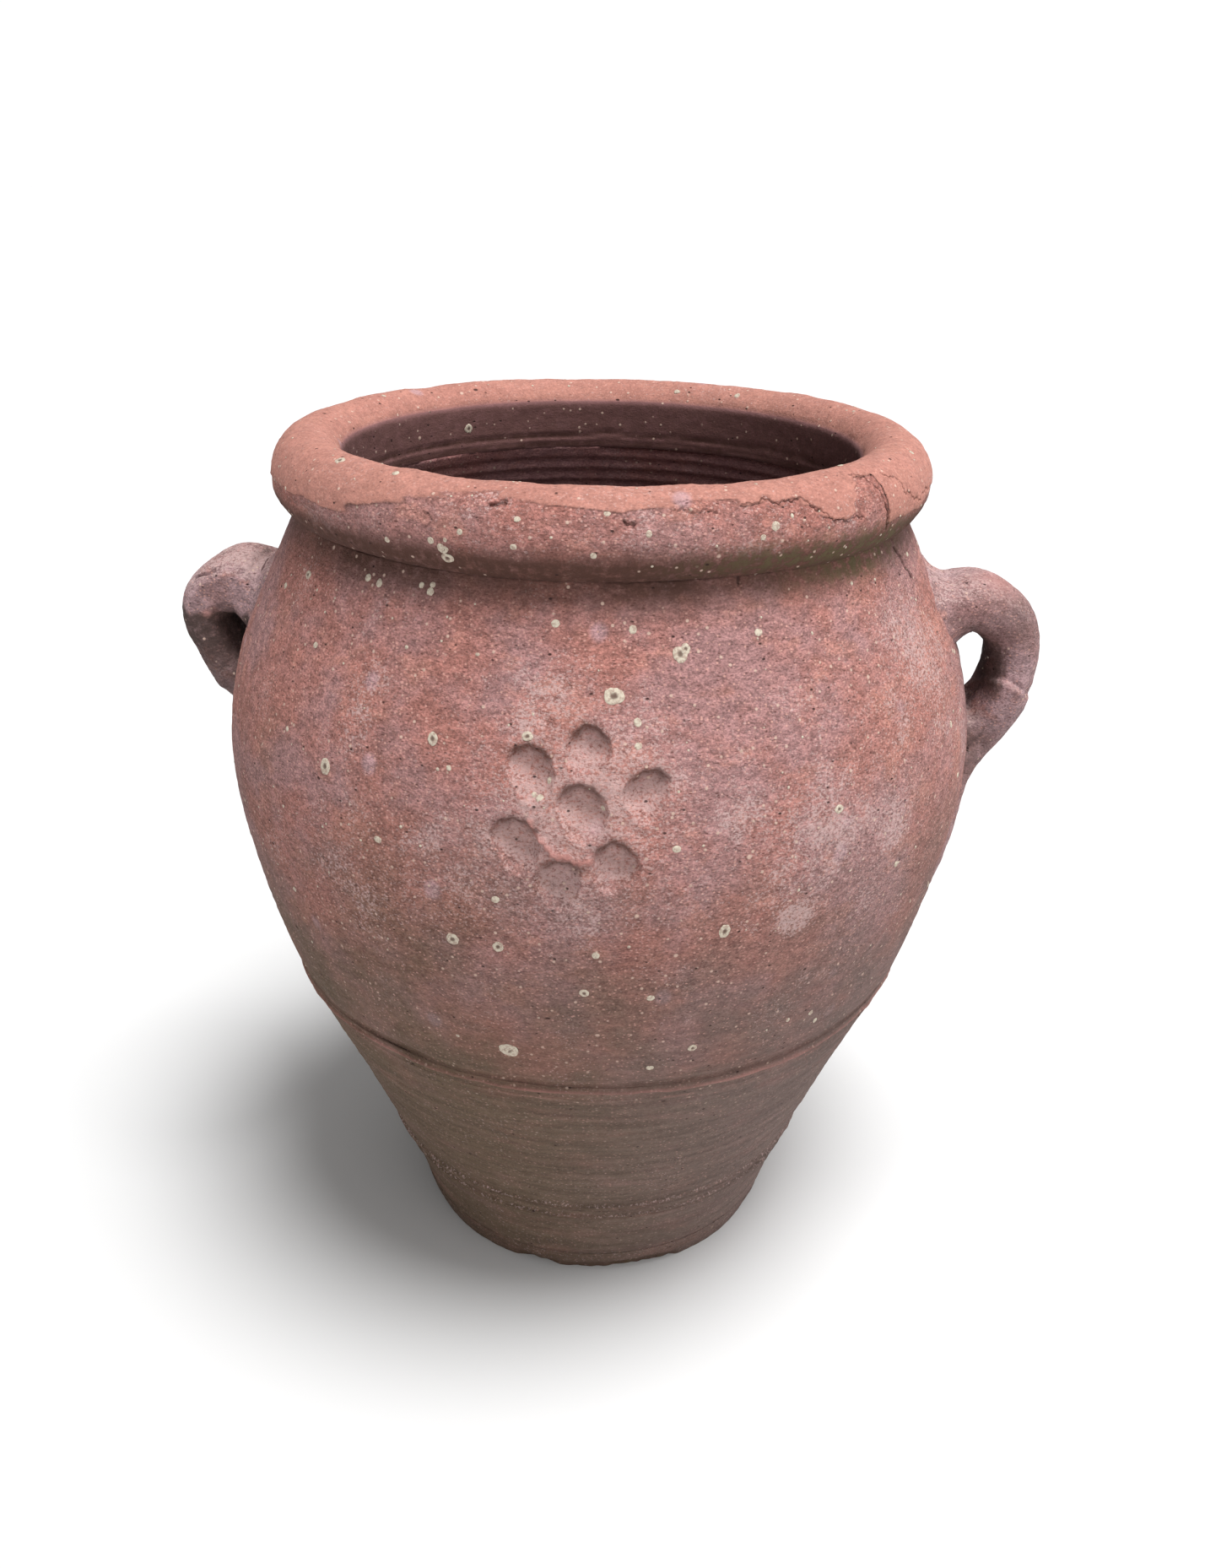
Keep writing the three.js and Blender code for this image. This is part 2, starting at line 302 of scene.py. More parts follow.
def thrown(name: str, section: Sequence[tuple[float, float]], steps: int) -> bpy.types.Object:
    """Throws a closed section round the jar's axis.

    Args:
        name: The piece's name.
        section: Radius and height of each point, in order round the section.
        steps: Faces round the jar.

    Returns:
        The closed piece.
    """
    line = np.array([*section, section[0]], float)

    def place(share: np.ndarray, azimuth: np.ndarray) -> np.ndarray:
        """Gives the points at shares round the section and azimuths round the jar."""
        row = np.rint(share * (len(line) - 1)).astype(int)
        return from_polar(line[row, 0], azimuth, line[row, 1])

    return rolled_out(name, len(line) - 1, steps, place)


@dataclass(frozen=True)
class Weather:
    """One layer of relief that soil, rain and frost left on the clay."""

    grain: float
    depth: float
    octaves: int = 2

    def wear(self, piece: bpy.types.Object) -> None:
        """Moves the piece's points in and out by a cloud pattern.

        Args:
            piece: The mesh object, at the origin.
        """
        cloud = bpy.data.textures.new(f"cloud {self.grain} mm", "CLOUDS")
        cloud.noise_scale = self.grain * MM
        cloud.noise_depth = self.octaves
        only(piece)
        bpy.ops.object.modifier_add(type="DISPLACE")
        modifier = piece.modifiers[-1]
        modifier.texture = cloud
        modifier.texture_coords = "LOCAL"
        modifier.mid_level = 0.5
        modifier.strength = self.depth * MM * 2
        bpy.ops.object.modifier_apply(modifier=modifier.name)


def let_weather(piece: bpy.types.Object, layers: Sequence[Weather]) -> None:
    """Wears a piece by each layer of weather in turn."""
    for layer in layers:
        layer.wear(piece)


# Materials


class Sketch:
    """Draws one material's nodes in a few words."""

    def __init__(self, name: str) -> None:
        """Starts a material with a shader, an output and the object's coordinates.

        Args:
            name: The material's name.
        """
        self.material = bpy.data.materials.new(name)
        self.material.use_nodes = True
        self.tree = self.material.node_tree
        self.tree.nodes.clear()
        self.shader = self.tree.nodes.new("ShaderNodeBsdfPrincipled")
        output = self.tree.nodes.new("ShaderNodeOutputMaterial")
        self.tree.links.new(self.shader.outputs["BSDF"], output.inputs["Surface"])
        self.place = self.tree.nodes.new("ShaderNodeTexCoord").outputs["Object"]

    def put(self, socket: bpy.types.NodeSocket, value: object) -> None:
        """Links a socket, or sets its value.

        Args:
            socket: The socket of a node.
            value: Another socket, a number or a colour, or None to leave it alone.
        """
        if isinstance(value, bpy.types.NodeSocket):
            self.tree.links.new(value, socket)
        elif value is not None:
            socket.default_value = value

    def stretched(self, stretch: Sequence[float], shift: Sequence[float]) -> bpy.types.NodeSocket:
        """Gives the object's coordinates, stretched and shifted.

        Args:
            stretch: Factor on each axis.
            shift: Metres on each axis, which sets one pattern apart from another.

        Returns:
            The vector.
        """
        mapping = self.tree.nodes.new("ShaderNodeMapping")
        self.put(mapping.inputs["Vector"], self.place)
        self.put(mapping.inputs["Location"], tuple(shift))
        self.put(mapping.inputs["Scale"], tuple(stretch))
        return mapping.outputs["Vector"]

    def noise(self, size: float, detail: float = 3, rough: float = 0.55, shift: float = 0,
              upright: float = 1) -> bpy.types.NodeSocket:
        """Gives a cloudy pattern.

        Args:
            size: Size of its largest features in millimetres.
            detail: How many finer layers it has.
            rough: How strong the finer layers are.
            shift: Metres by which the pattern is moved.
            upright: Above 1, features are squashed in height.

        Returns:
            A value round 0.5.
        """
        node = self.tree.nodes.new("ShaderNodeTexNoise")
        self.put(node.inputs["Vector"], self.stretched((1, 1, upright), (shift, shift / 2, -shift)))
        self.put(node.inputs["Scale"], 1000 / size)
        self.put(node.inputs["Detail"], detail)
        self.put(node.inputs["Roughness"], rough)
        return node.outputs["Fac"]

    def dots(self, pitch: float, radius: float, share: float, shift: float = 0,
             upright: float = 1) -> bpy.types.NodeSocket:
        """Scatters round dots.

        Args:
            pitch: Mean distance between cells in millimetres.
            radius: Largest radius of a dot, as a share of the pitch.
            share: Share of the cells that have a dot.
            shift: Metres by which the pattern is moved.
            upright: Above 1, dots are squashed in height.

        Returns:
            1 in a dot and 0 outside it.
        """
        cells = self.tree.nodes.new("ShaderNodeTexVoronoi")
        self.put(cells.inputs["Vector"], self.stretched((1, 1, upright), (shift, -shift, shift)))
        self.put(cells.inputs["Scale"], 1000 / pitch)
        split = self.tree.nodes.new("ShaderNodeSeparateColor")
        self.put(split.inputs["Color"], cells.outputs["Color"])
        chosen = self.fade(split.outputs["Red"], 1 - share, 1 - share + 0.05)
        near = self.fade(cells.outputs["Distance"], radius, radius * 0.45)
        return self.times(chosen, near)

    def sum(self, operation: str, first: object, second: object) -> bpy.types.NodeSocket:
        """Does one sum on two values.

        Args:
            operation: The sum, as Blender names it.
            first: The first value.
            second: The second value.

        Returns:
            The result, held between 0 and 1.
        """
        node = self.tree.nodes.new("ShaderNodeMath")
        node.operation = operation
        node.use_clamp = True
        self.put(node.inputs[0], first)
        self.put(node.inputs[1], second)
        return node.outputs[0]

    def times(self, first: object, second: object) -> bpy.types.NodeSocket:
        """Multiplies two values."""
        return self.sum("MULTIPLY", first, second)

    def plus(self, first: object, second: object) -> bpy.types.NodeSocket:
        """Adds two values, up to 1."""
        return self.sum("ADD", first, second)

    def fade(self, value: object, low: float, high: float, least: float = 0,
             most: float = 1) -> bpy.types.NodeSocket:
        """Turns a value into a soft step.

        Args:
            value: What is weighed.
            low: Where the step starts.
            high: Where it ends, which may be below low.
            least: Result at low.
            most: Result at high.

        Returns:
            The step.
        """
        node = self.tree.nodes.new("ShaderNodeMapRange")
        node.interpolation_type = "SMOOTHSTEP"
        turned = high < low
        self.put(node.inputs["Value"], value)
        self.put(node.inputs["From Min"], high if turned else low)
        self.put(node.inputs["From Max"], low if turned else high)
        self.put(node.inputs["To Min"], most if turned else least)
        self.put(node.inputs["To Max"], least if turned else most)
        return node.outputs["Result"]

    def over(self, share: object, under: object, top: object,
             mode: str = "MIX") -> bpy.types.NodeSocket:
        """Lays one colour over another.

        Args:
            share: How much of the top one shows.
            under: The colour below.
            top: The colour above.
            mode: How they mix.

        Returns:
            The mixed colour.
        """
        node = self.tree.nodes.new("ShaderNodeMix")
        node.data_type = "RGBA"
        node.blend_type = mode
        self.put(node.inputs[0], share)
        self.put(node.inputs[6], under)
        self.put(node.inputs[7], top)
        return node.outputs[2]

    def kept(self, name: str) -> bpy.types.NodeSocket:
        """Reads a value kept on the mesh's points.

        Args:
            name: The name that it was kept under.

        Returns:
            The value.
        """
        node = self.tree.nodes.new("ShaderNodeAttribute")
        node.attribute_name = name
        return node.outputs["Fac"]

    def axis(self, name: str) -> bpy.types.NodeSocket:
        """Reads one of the object's coordinates.

        Args:
            name: X, Y or Z.

        Returns:
            The coordinate in metres.
        """
        node = self.tree.nodes.new("ShaderNodeSeparateXYZ")
        self.put(node.inputs[0], self.place)
        return node.outputs[name]

    def emboss(self, layers: Sequence[tuple[object, float]]) -> None:
        """Raises the surface by a chain of fine patterns.

        Args:
            layers: Each pattern with its height in millimetres, negative where it is sunk.
        """
        normal: Optional[bpy.types.NodeSocket] = None
        for height, depth in layers:
            bump = self.tree.nodes.new("ShaderNodeBump")
            bump.invert = depth < 0
            self.put(bump.inputs["Distance"], abs(depth) * MM)
            self.put(bump.inputs["Height"], height)
            self.put(bump.inputs["Normal"], normal)
            normal = bump.outputs["Normal"]
        self.put(self.shader.inputs["Normal"], normal)

    def coat(self, colour: object, roughness: float, gloss: float) -> None:
        """Sets the shader's colour, roughness and gloss.

        Args:
            colour: The colour, or the pattern that gives it.
            roughness: How matt the surface is, from 0 to 1.
            gloss: Its specular level.
        """
        for name, value in (("Base Color", colour), ("Roughness", roughness),
                            ("Specular IOR Level", gloss)):
            self.put(self.shader.inputs[name], value)


@dataclass(frozen=True)
class FiredClay:
    """Bare fired clay with its soil, bloom, lime specks and pits, and the painted shade and painted
    highlights laid in its soil, bloom and rubbed colours.
    """

    name: str
    warm: Colour
    pink: Colour
    skin: Colour = clay_colour(174, 122, 109)
    rubbed: Colour = clay_colour(188, 132, 124)
    pale: Colour = clay_colour(200, 172, 168)
    speck: Colour = clay_colour(208, 180, 164)
    grain: Colour = clay_colour(206, 158, 146)
    lilac: Colour = clay_colour(186, 158, 166)
    pore: Colour = clay_colour(88, 52, 48)
    pit: Colour = clay_colour(54, 36, 34)
    # Soil colour, also laid as painted shade under the rim, in grooves and recesses and on the
    # handles' shaded faces
    soil: Colour = clay_colour(84, 58, 50)
    moss: Colour = clay_colour(94, 84, 60)
    inside: Colour = clay_colour(142, 102, 106)
    olive: Optional[Colour] = None
    mauve: Optional[Colour] = None
    stain_low: float = 170
    stain_high: float = 410
    sand_size: float = 1.5
    sand_strength: float = 0.30
    bloom_and_highlight_share: float = 0.7
    grain_depth: float = 0.34
    roughness: float = 0.93
    gloss: float = 0.2

    def ground(self, draw: Sketch) -> bpy.types.NodeSocket:
        """Gives the clay's own colour, with its skin and the soil stain that rises from below.

        Args:
            draw: The material being drawn.

        Returns:
            The colour.
        """
        cloud = draw.noise(70, 4, 0.6)
        tint = draw.over(draw.fade(cloud, 0.40, 0.60), self.warm, self.pink)
        smooth = draw.times(draw.kept("skin"), draw.fade(cloud, 0.3, 0.7, 0.7, 1))
        wiped = draw.fade(draw.noise(28, 3, 0.6, shift=6.1, upright=1.5), 0.54, 0.66, 0, 0.5)
        tint = draw.over(draw.plus(smooth, wiped), tint, self.skin)
        blots = draw.dots(30, 0.2, 0.4, shift=4.4, upright=0.8)
        tint = draw.over(draw.times(blots, 0.45), tint, self.lilac)
        if self.olive and self.mauve:
            ragged = draw.noise(55, 5, 0.65, shift=3.1)
            height = draw.plus(draw.axis("Z"), draw.fade(ragged, 0.25, 0.75, 0, 0.1))
            stained = draw.fade(height, (self.stain_high + 50) * MM, (self.stain_low + 50) * MM)
            across = draw.fade(draw.plus(draw.axis("X"), 0.5), 0.42, 0.62)
            low = draw.over(across, self.olive, self.mauve)
            streak = draw.noise(40, 4, 0.6, shift=1.7, upright=4)
            tint = draw.over(draw.times(stained, draw.fade(streak, 0.25, 0.55, 0.8, 1)), tint, low)
        return tint

    def powder(self, draw: Sketch, tint: object, sand: object) -> bpy.types.NodeSocket:
        """Lays sand and powdery lime bloom over the clay, with the painted highlights that the
        bloom layer also carries.

        Args:
            draw: The material being drawn.
            tint: The clay's colour.
            sand: The pattern of its grains.

        Returns:
            The colour.
        """
        low, high = 1 - self.sand_strength, 1 + self.sand_strength
        rough = draw.fade(draw.kept("skin"), 0, 1, 1, 0.45)
        strength = draw.times(draw.fade(draw.axis("Z"), 0.18, 0.34, 0.4, 1), rough)
        tint = draw.over(strength, tint, draw.fade(sand, 0.34, 0.66, low, high), "MULTIPLY")
        mottle = draw.noise(7, 4, 0.65, shift=1.3, upright=2)
        tint = draw.over(strength, tint, draw.fade(mottle, 0.35, 0.65, 0.8, 1.22), "MULTIPLY")
        grains = draw.dots(2.6, 0.34, 0.5, shift=0.3, upright=1.3)
        tint = draw.over(draw.times(draw.times(grains, strength), 0.75), tint, self.grain)
        pores = draw.dots(4.6, 0.26, 0.6, shift=2.9, upright=3)
        tint = draw.over(draw.times(draw.times(pores, strength), 0.75), tint, self.pore)
        turned = draw.noise(70, 5, 0.75, shift=7.7, upright=16)
        low_down = draw.fade(draw.axis("Z"), 0.30, 0.18)
        tint = draw.over(low_down, tint, draw.fade(turned, 0.35, 0.65, 0.84, 1.14), "MULTIPLY")
        granules = draw.noise(1.8, 5, 0.75, shift=2.2, upright=1.3)
        drifts = draw.fade(draw.noise(42, 3, 0.6, shift=5.3), 0.48, 0.70, 0, 0.5)
        # The kept bloom layer is partly lime bloom and partly painted highlight on crests, press
        # floors and the handles' upper faces
        patches = draw.plus(draw.kept("bloom"), draw.times(drifts, strength))
        bloom = draw.fade(draw.plus(granules, draw.times(patches, 0.22)), 0.60, 0.74)
        return draw.over(draw.times(bloom, self.bloom_and_highlight_share), tint, self.pale)

    def dirt_and_shade(self, draw: Sketch, tint: object, specks: object, pits: object
             ) -> bpy.types.NodeSocket:
        """Lays soil and painted shade, moss, pale specks and dark pits over the clay.

        Args:
            draw: The material being drawn.
            tint: The clay's colour.
            specks: Where pale specks are.
            pits: Where pits are.

        Returns:
            The colour.
        """
        patchy = draw.noise(5, 6, 0.7, shift=0.4)
        # The rubbed layer is partly wear and partly painted highlight on crests and on the handle's
        # raised crease
        tint = draw.over(draw.kept("rubbed"), tint, self.rubbed)
        tint = draw.over(draw.times(draw.kept("inside"), 0.9), tint, self.inside)
        # The soil layer is partly real soil and partly painted shade
        soil_and_shade_share = draw.times(draw.kept("soil"), draw.fade(patchy, 0.3, 0.55, 0.7, 1))
        tint = draw.over(soil_and_shade_share, tint, self.soil)
        mossy = draw.times(draw.kept("moss"), draw.fade(patchy, 0.4, 0.58))
        tint = draw.over(mossy, tint, self.moss)
        clean = draw.fade(draw.axis("Z"), 0.12, 0.30, 0.2, 0.8)
        tint = draw.over(draw.times(specks, clean), tint, self.speck)
        return draw.over(draw.times(pits, 0.85), tint, self.pit)

    def build(self) -> bpy.types.Material:
        """Draws the whole material.

        Returns:
            The material.
        """
        draw = Sketch(self.name)
        specks = draw.plus(draw.dots(5.6, 0.2, 0.4, shift=0.2),
                           draw.dots(19, 0.085, 0.45, shift=0.7))
        pits = draw.plus(draw.dots(9, 0.12, 0.45, shift=1.1, upright=1.6),
                         draw.dots(30, 0.06, 0.6, shift=1.9, upright=1.8))
        pits = draw.plus(pits, draw.kept("crack"))
        sand = draw.noise(self.sand_size, 3, 0.65, shift=0.9, upright=1.5)
        tint = self.powder(draw, self.ground(draw), sand)
        draw.coat(self.dirt_and_shade(draw, tint, specks, pits), self.roughness, self.gloss)
        rough = draw.fade(draw.kept("skin"), 0, 1, 1, 0.4)
        coarse = draw.noise(8, 6, 0.7, shift=0.6, upright=1.5)
        draw.emboss([
            (draw.times(coarse, rough), self.grain_depth * 6),
            (draw.times(sand, rough), self.grain_depth * 2.5),
            (specks, 0.2),
            (pits, -0.7),
        ])
        return draw.material


BODY_CLAY = FiredClay(
    "weathered jar clay",
    warm=clay_colour(160, 109, 100),
    pink=clay_colour(157, 118, 116),
    olive=clay_colour(101, 84, 69),
    mauve=clay_colour(113, 96, 90),
)
RIM_CLAY = FiredClay(
    "rolled rim clay",
    warm=clay_colour(154, 103, 94),
    pink=clay_colour(154, 113, 109),
    grain_depth=0.28,
)
HANDLE_CLAY = FiredClay(
    "handle clay",
    warm=clay_colour(143, 110, 108),
    pink=clay_colour(158, 130, 132),
    # Soil colour, also the handles' painted shade
    soil=clay_colour(72, 58, 54),
    grain_depth=0.28,
)


@dataclass(frozen=True)
class LimeCrust:
    """Pale lichen and lime crust, with a dark pit in the middle of the old rings."""

    name: str = "lime and lichen crust"
    edge: Colour = clay_colour(198, 188, 170)
    worn: Colour = clay_colour(168, 148, 134)
    core: Colour = clay_colour(88, 66, 58)
    roughness: float = 0.95
    gloss: float = 0.15
    grit: float = 0.3

    def build(self) -> bpy.types.Material:
        """Draws the whole material.

        Returns:
            The material.
        """
        draw = Sketch(self.name)
        fine = draw.noise(1.5, 4, 0.7)
        tint = draw.over(draw.fade(fine, 0.42, 0.62), self.edge, self.worn)
        tint = draw.over(draw.kept("core"), tint, self.core)
        draw.coat(tint, self.roughness, self.gloss)
        draw.emboss([(fine, self.grit)])
        return draw.material


# The jar's wall


@dataclass(frozen=True)
class TurnedMark:
    """A raised or sunk band that a tool or a join left on the turning wall."""

    height: float
    width: float
    lift: float
    wobble: float = 0.3
    seed: int = 1
    sway: float = 0.8

    def at(self, azimuth: np.ndarray, height: np.ndarray) -> np.ndarray:
        """Gives the band's lift at each place.

        Args:
            azimuth: Azimuths in radians.
            height: Heights in millimetres.

        Returns:
            Millimetres out of the wall.
        """
        line = self.height + self.sway * wander(azimuth, self.seed)
        share = np.minimum(np.abs(height - line) / self.width * 2, 1)
        uneven = 1 + self.wobble * wander(azimuth, self.seed + 50, slowest=5)
        return self.lift * uneven * (1 + np.cos(math.pi * share)) / 2


@dataclass(frozen=True)
class DrawnRings:
    """Faint rings that the fingers drew round a stretch of the wall, which fade at its ends."""

    pitch: float
    lift: float
    sway: float
    seed: int
    # Heights where they start, are full, thin out and end
    stretch: tuple[float, float, float, float]

    def at(self, azimuth: np.ndarray, height: np.ndarray) -> np.ndarray:
        """Gives the rings' lift at each place.

        Args:
            azimuth: Azimuths in radians.
            height: Heights in millimetres.

        Returns:
            Millimetres out of the wall.
        """
        turns = height * 2 * math.pi / self.pitch + self.sway * wander(azimuth, self.seed)
        return self.lift * np.sin(turns) * between(height, *self.stretch)


@dataclass(frozen=True)
class TintLine:
    """A thin line of soil, bloom or rubbed clay along a turned mark; a soil line in a groove is
    partly painted shade, and a pale line on a crest partly a painted highlight.
    """

    height: float
    half_width: float
    strength: float
    sway: float = 0
    seed: int = 1

    def at(self, azimuth: np.ndarray, height: np.ndarray) -> np.ndarray:
        """Gives how strong the line is at each place.

        Args:
            azimuth: Azimuths in radians.
            height: Heights in millimetres.

        Returns:
            The strength, which is 0 away from the line.
        """
        line = self.height + self.sway * wander(azimuth, self.seed)
        return self.strength * hump(height, line, self.half_width)


def near_line(places: np.ndarray, line: Sequence[Sequence[float]], width: float) -> np.ndarray:
    """Gives 1 on a bent line and 0 beyond its width.

    Args:
        places: One place in each row.
        line: The line's corners, in the same axes.
        width: The line's width.

    Returns:
        A share for each place.
    """
    corners = np.array(line, float)
    nearest = np.full(len(places), 1e9)
    for start, stop in zip(corners, corners[1:]):
        way = stop - start
        share = np.clip((places - start) @ way / (way @ way), 0, 1)
        nearest = np.minimum(nearest, np.linalg.norm(places - start - np.outer(share, way), axis=1))
    return smooth_step(nearest, width * 0.75, width * 0.3)


@dataclass(frozen=True)
class Crack:
    """A jagged crack or slot through places given in degrees round the jar and on its skin."""

    points: Sequence[tuple[float, float]]
    width: float = 1.3
    depth: float = 1.3

    def at(self, azimuth: np.ndarray, up: np.ndarray, round_mm: float, up_mm: float) -> np.ndarray:
        """Gives how much of the crack is at each place.

        Args:
            azimuth: Degrees round the jar.
            up: Height in millimetres, or degrees of roll on the rim.
            round_mm: Millimetres for a degree round the jar.
            up_mm: Millimetres for one unit of up.

        Returns:
            1 in the crack, 0 outside it.
        """
        across, rise = azimuth * round_mm, up * up_mm
        jag = 0.6 * np.sin(rise * 0.7 + across * 0.3) + 0.35 * np.sin(rise * 1.9 + 0.6 * across)
        lift = 0.7 * np.sin(across * 0.6 + 1) + 0.4 * np.sin(across * 1.7 - 0.5 * rise)
        places = np.column_stack([across + jag, rise + lift])
        return near_line(places, np.array(self.points) * (round_mm, up_mm), self.width)


@dataclass
class Rosette:
    """Seven fingertip presses on the shoulder, six petals round a middle one."""

    height: float = 384.5
    turn: float = -2
    finger_width: float = 29
    tilt: float = 26
    depth: float = 6.2
    squeezed: float = 1.2
    squeezed_width: float = 1.3
    swollen: float = 0.9
    swollen_out: float = 3.5
    swollen_width: float = 4.5
    wobble: float = 0.9
    fine_wobble: float = 0.35
    skin_radius: float = 217
    halo_height: float = 392
    # Distances from its middle where the halo ends and where it is full
    halo_reach: tuple[float, float] = (66, 22)
    # Degrees and millimetres from the middle press, and size
    petals: Sequence[tuple[float, float, float]] = (
        (0, 0, 1.05), (15, 31, 0.95), (86, 26.5, 0.92), (145, 30, 1.0), (208, 35.5, 1.05),
        (253, 37, 1.0), (300, 31, 1.0))
    ridge: Crack = Crack(((-8.6, 379), (-7.4, 370), (-5.6, 364), (-3.6, 361), (-1.0, 360)),
                         2.6, 2.0)

    @property
    def rim(self) -> float:
        """Radius of a press where it leaves the wall."""
        finger = self.finger_width / 2
        return math.sqrt(finger ** 2 - (finger - self.depth) ** 2)

    def presses(self, azimuth: np.ndarray, height: np.ndarray, radius: np.ndarray
                ) -> list[tuple[np.ndarray, np.ndarray]]:
        """Gives every place's distance from each press, to the side and up, in even-sized presses.

        Args:
            azimuth: Azimuths in radians.
            height: Heights in millimetres.
            radius: The wall's radius at each place.

        Returns:
            Two arrays for each press.
        """
        across = (azimuth - math.radians(self.turn)) * radius
        found = []
        for degrees, reach, size in self.petals:
            angle = math.radians(degrees)
            aside = across - reach * math.cos(angle)
            up = height - self.height - reach * math.sin(angle)
            sideways = self.wobble * np.sin(up * 0.29 + degrees)
            upwards = self.wobble * np.sin(aside * 0.25 + degrees)
            found.append(((aside + sideways + self.fine_wobble * np.sin(up * 0.9)) / size,
                          (up + upwards + self.fine_wobble * np.sin(aside)) / size))
        return found

    def ridged(self, azimuth: np.ndarray, height: np.ndarray) -> np.ndarray:
        """Gives how much of the squeezed ridge is at each place."""
        return self.ridge.at(np.degrees(azimuth), height, math.radians(1) * self.skin_radius, 1)

    def relief(self, azimuth: np.ndarray, height: np.ndarray, radius: np.ndarray) -> np.ndarray:
        """Presses the fingertips in, each with a little clay squeezed up round it.

        Args:
            azimuth: Azimuths in radians.
            height: Heights in millimetres.
            radius: The wall's radius at each place.

        Returns:
            Millimetres out of the wall, negative in a press.
        """
        finger = self.finger_width / 2
        lean = math.radians(self.tilt)
        sunk = np.zeros_like(height)
        raised = np.zeros_like(height)
        for aside, up in self.presses(azimuth, height, radius):
            close = np.hypot(aside, up) < 3 * finger
            half = np.sqrt(np.maximum(finger ** 2 - aside ** 2, 0))
            touch = np.maximum(up, -half * math.sin(lean))
            ball = np.sqrt(np.maximum(half ** 2 - touch ** 2, 0))
            gap = (finger - self.depth) + (touch - up) * math.tan(lean) - ball
            sunk = np.where(close, np.minimum(sunk, np.minimum(gap, 0)), sunk)
            lip = hump(gap, 0, self.squeezed_width) * (half > 0) * close
            raised = np.maximum(raised, self.squeezed * lip)
            swell = hump(np.hypot(aside, up), self.rim + self.swollen_out, self.swollen_width)
            raised = np.maximum(raised, self.swollen * (swell * close * (gap > 0)))
        return sunk + raised + self.ridge.depth * self.ridged(azimuth, height)

    def dust_and_shading(self, azimuth: np.ndarray, height: np.ndarray, radius: np.ndarray
             ) -> tuple[np.ndarray, np.ndarray, np.ndarray]:
        """Gives the soil and painted shade under the presses' upper edges, the bloom and painted
        light on their floors, and the ridge.

        Args:
            azimuth: Azimuths in radians.
            height: Heights in millimetres.
            radius: The wall's radius at each place.

        Returns:
            Three arrays from 0 to 1.
        """
        soil = np.zeros_like(height)
        bloom = np.zeros_like(height)
        for aside, up in self.presses(azimuth, height, radius):
            reach = np.hypot(aside, up)
            above = smooth_step(up / np.maximum(reach, 1), 0.1, 0.75)
            # Soil and painted shade in a crescent under each press's upper edge
            soil = np.maximum(soil, hump(reach, self.rim - 2.2, 3.2) * above)
            # Bloom and painted light on each press's floor
            bloom = np.maximum(bloom, smooth_step(reach, self.rim - 1, self.rim - 5))
        return soil, bloom * (1 - soil), self.ridged(azimuth, height)

    def halo(self, azimuth: np.ndarray, height: np.ndarray, radius: np.ndarray) -> np.ndarray:
        """Gives the pale halo of clay that fingers have rubbed round the presses.

        Args:
            azimuth: Azimuths in radians.
            height: Heights in millimetres.
            radius: The wall's radius at each place.

        Returns:
            A share for each place.
        """
        across = np.radians(np.degrees(azimuth) - self.turn) * radius
        return smooth_step(np.hypot(across, height - self.halo_height), *self.halo_reach)


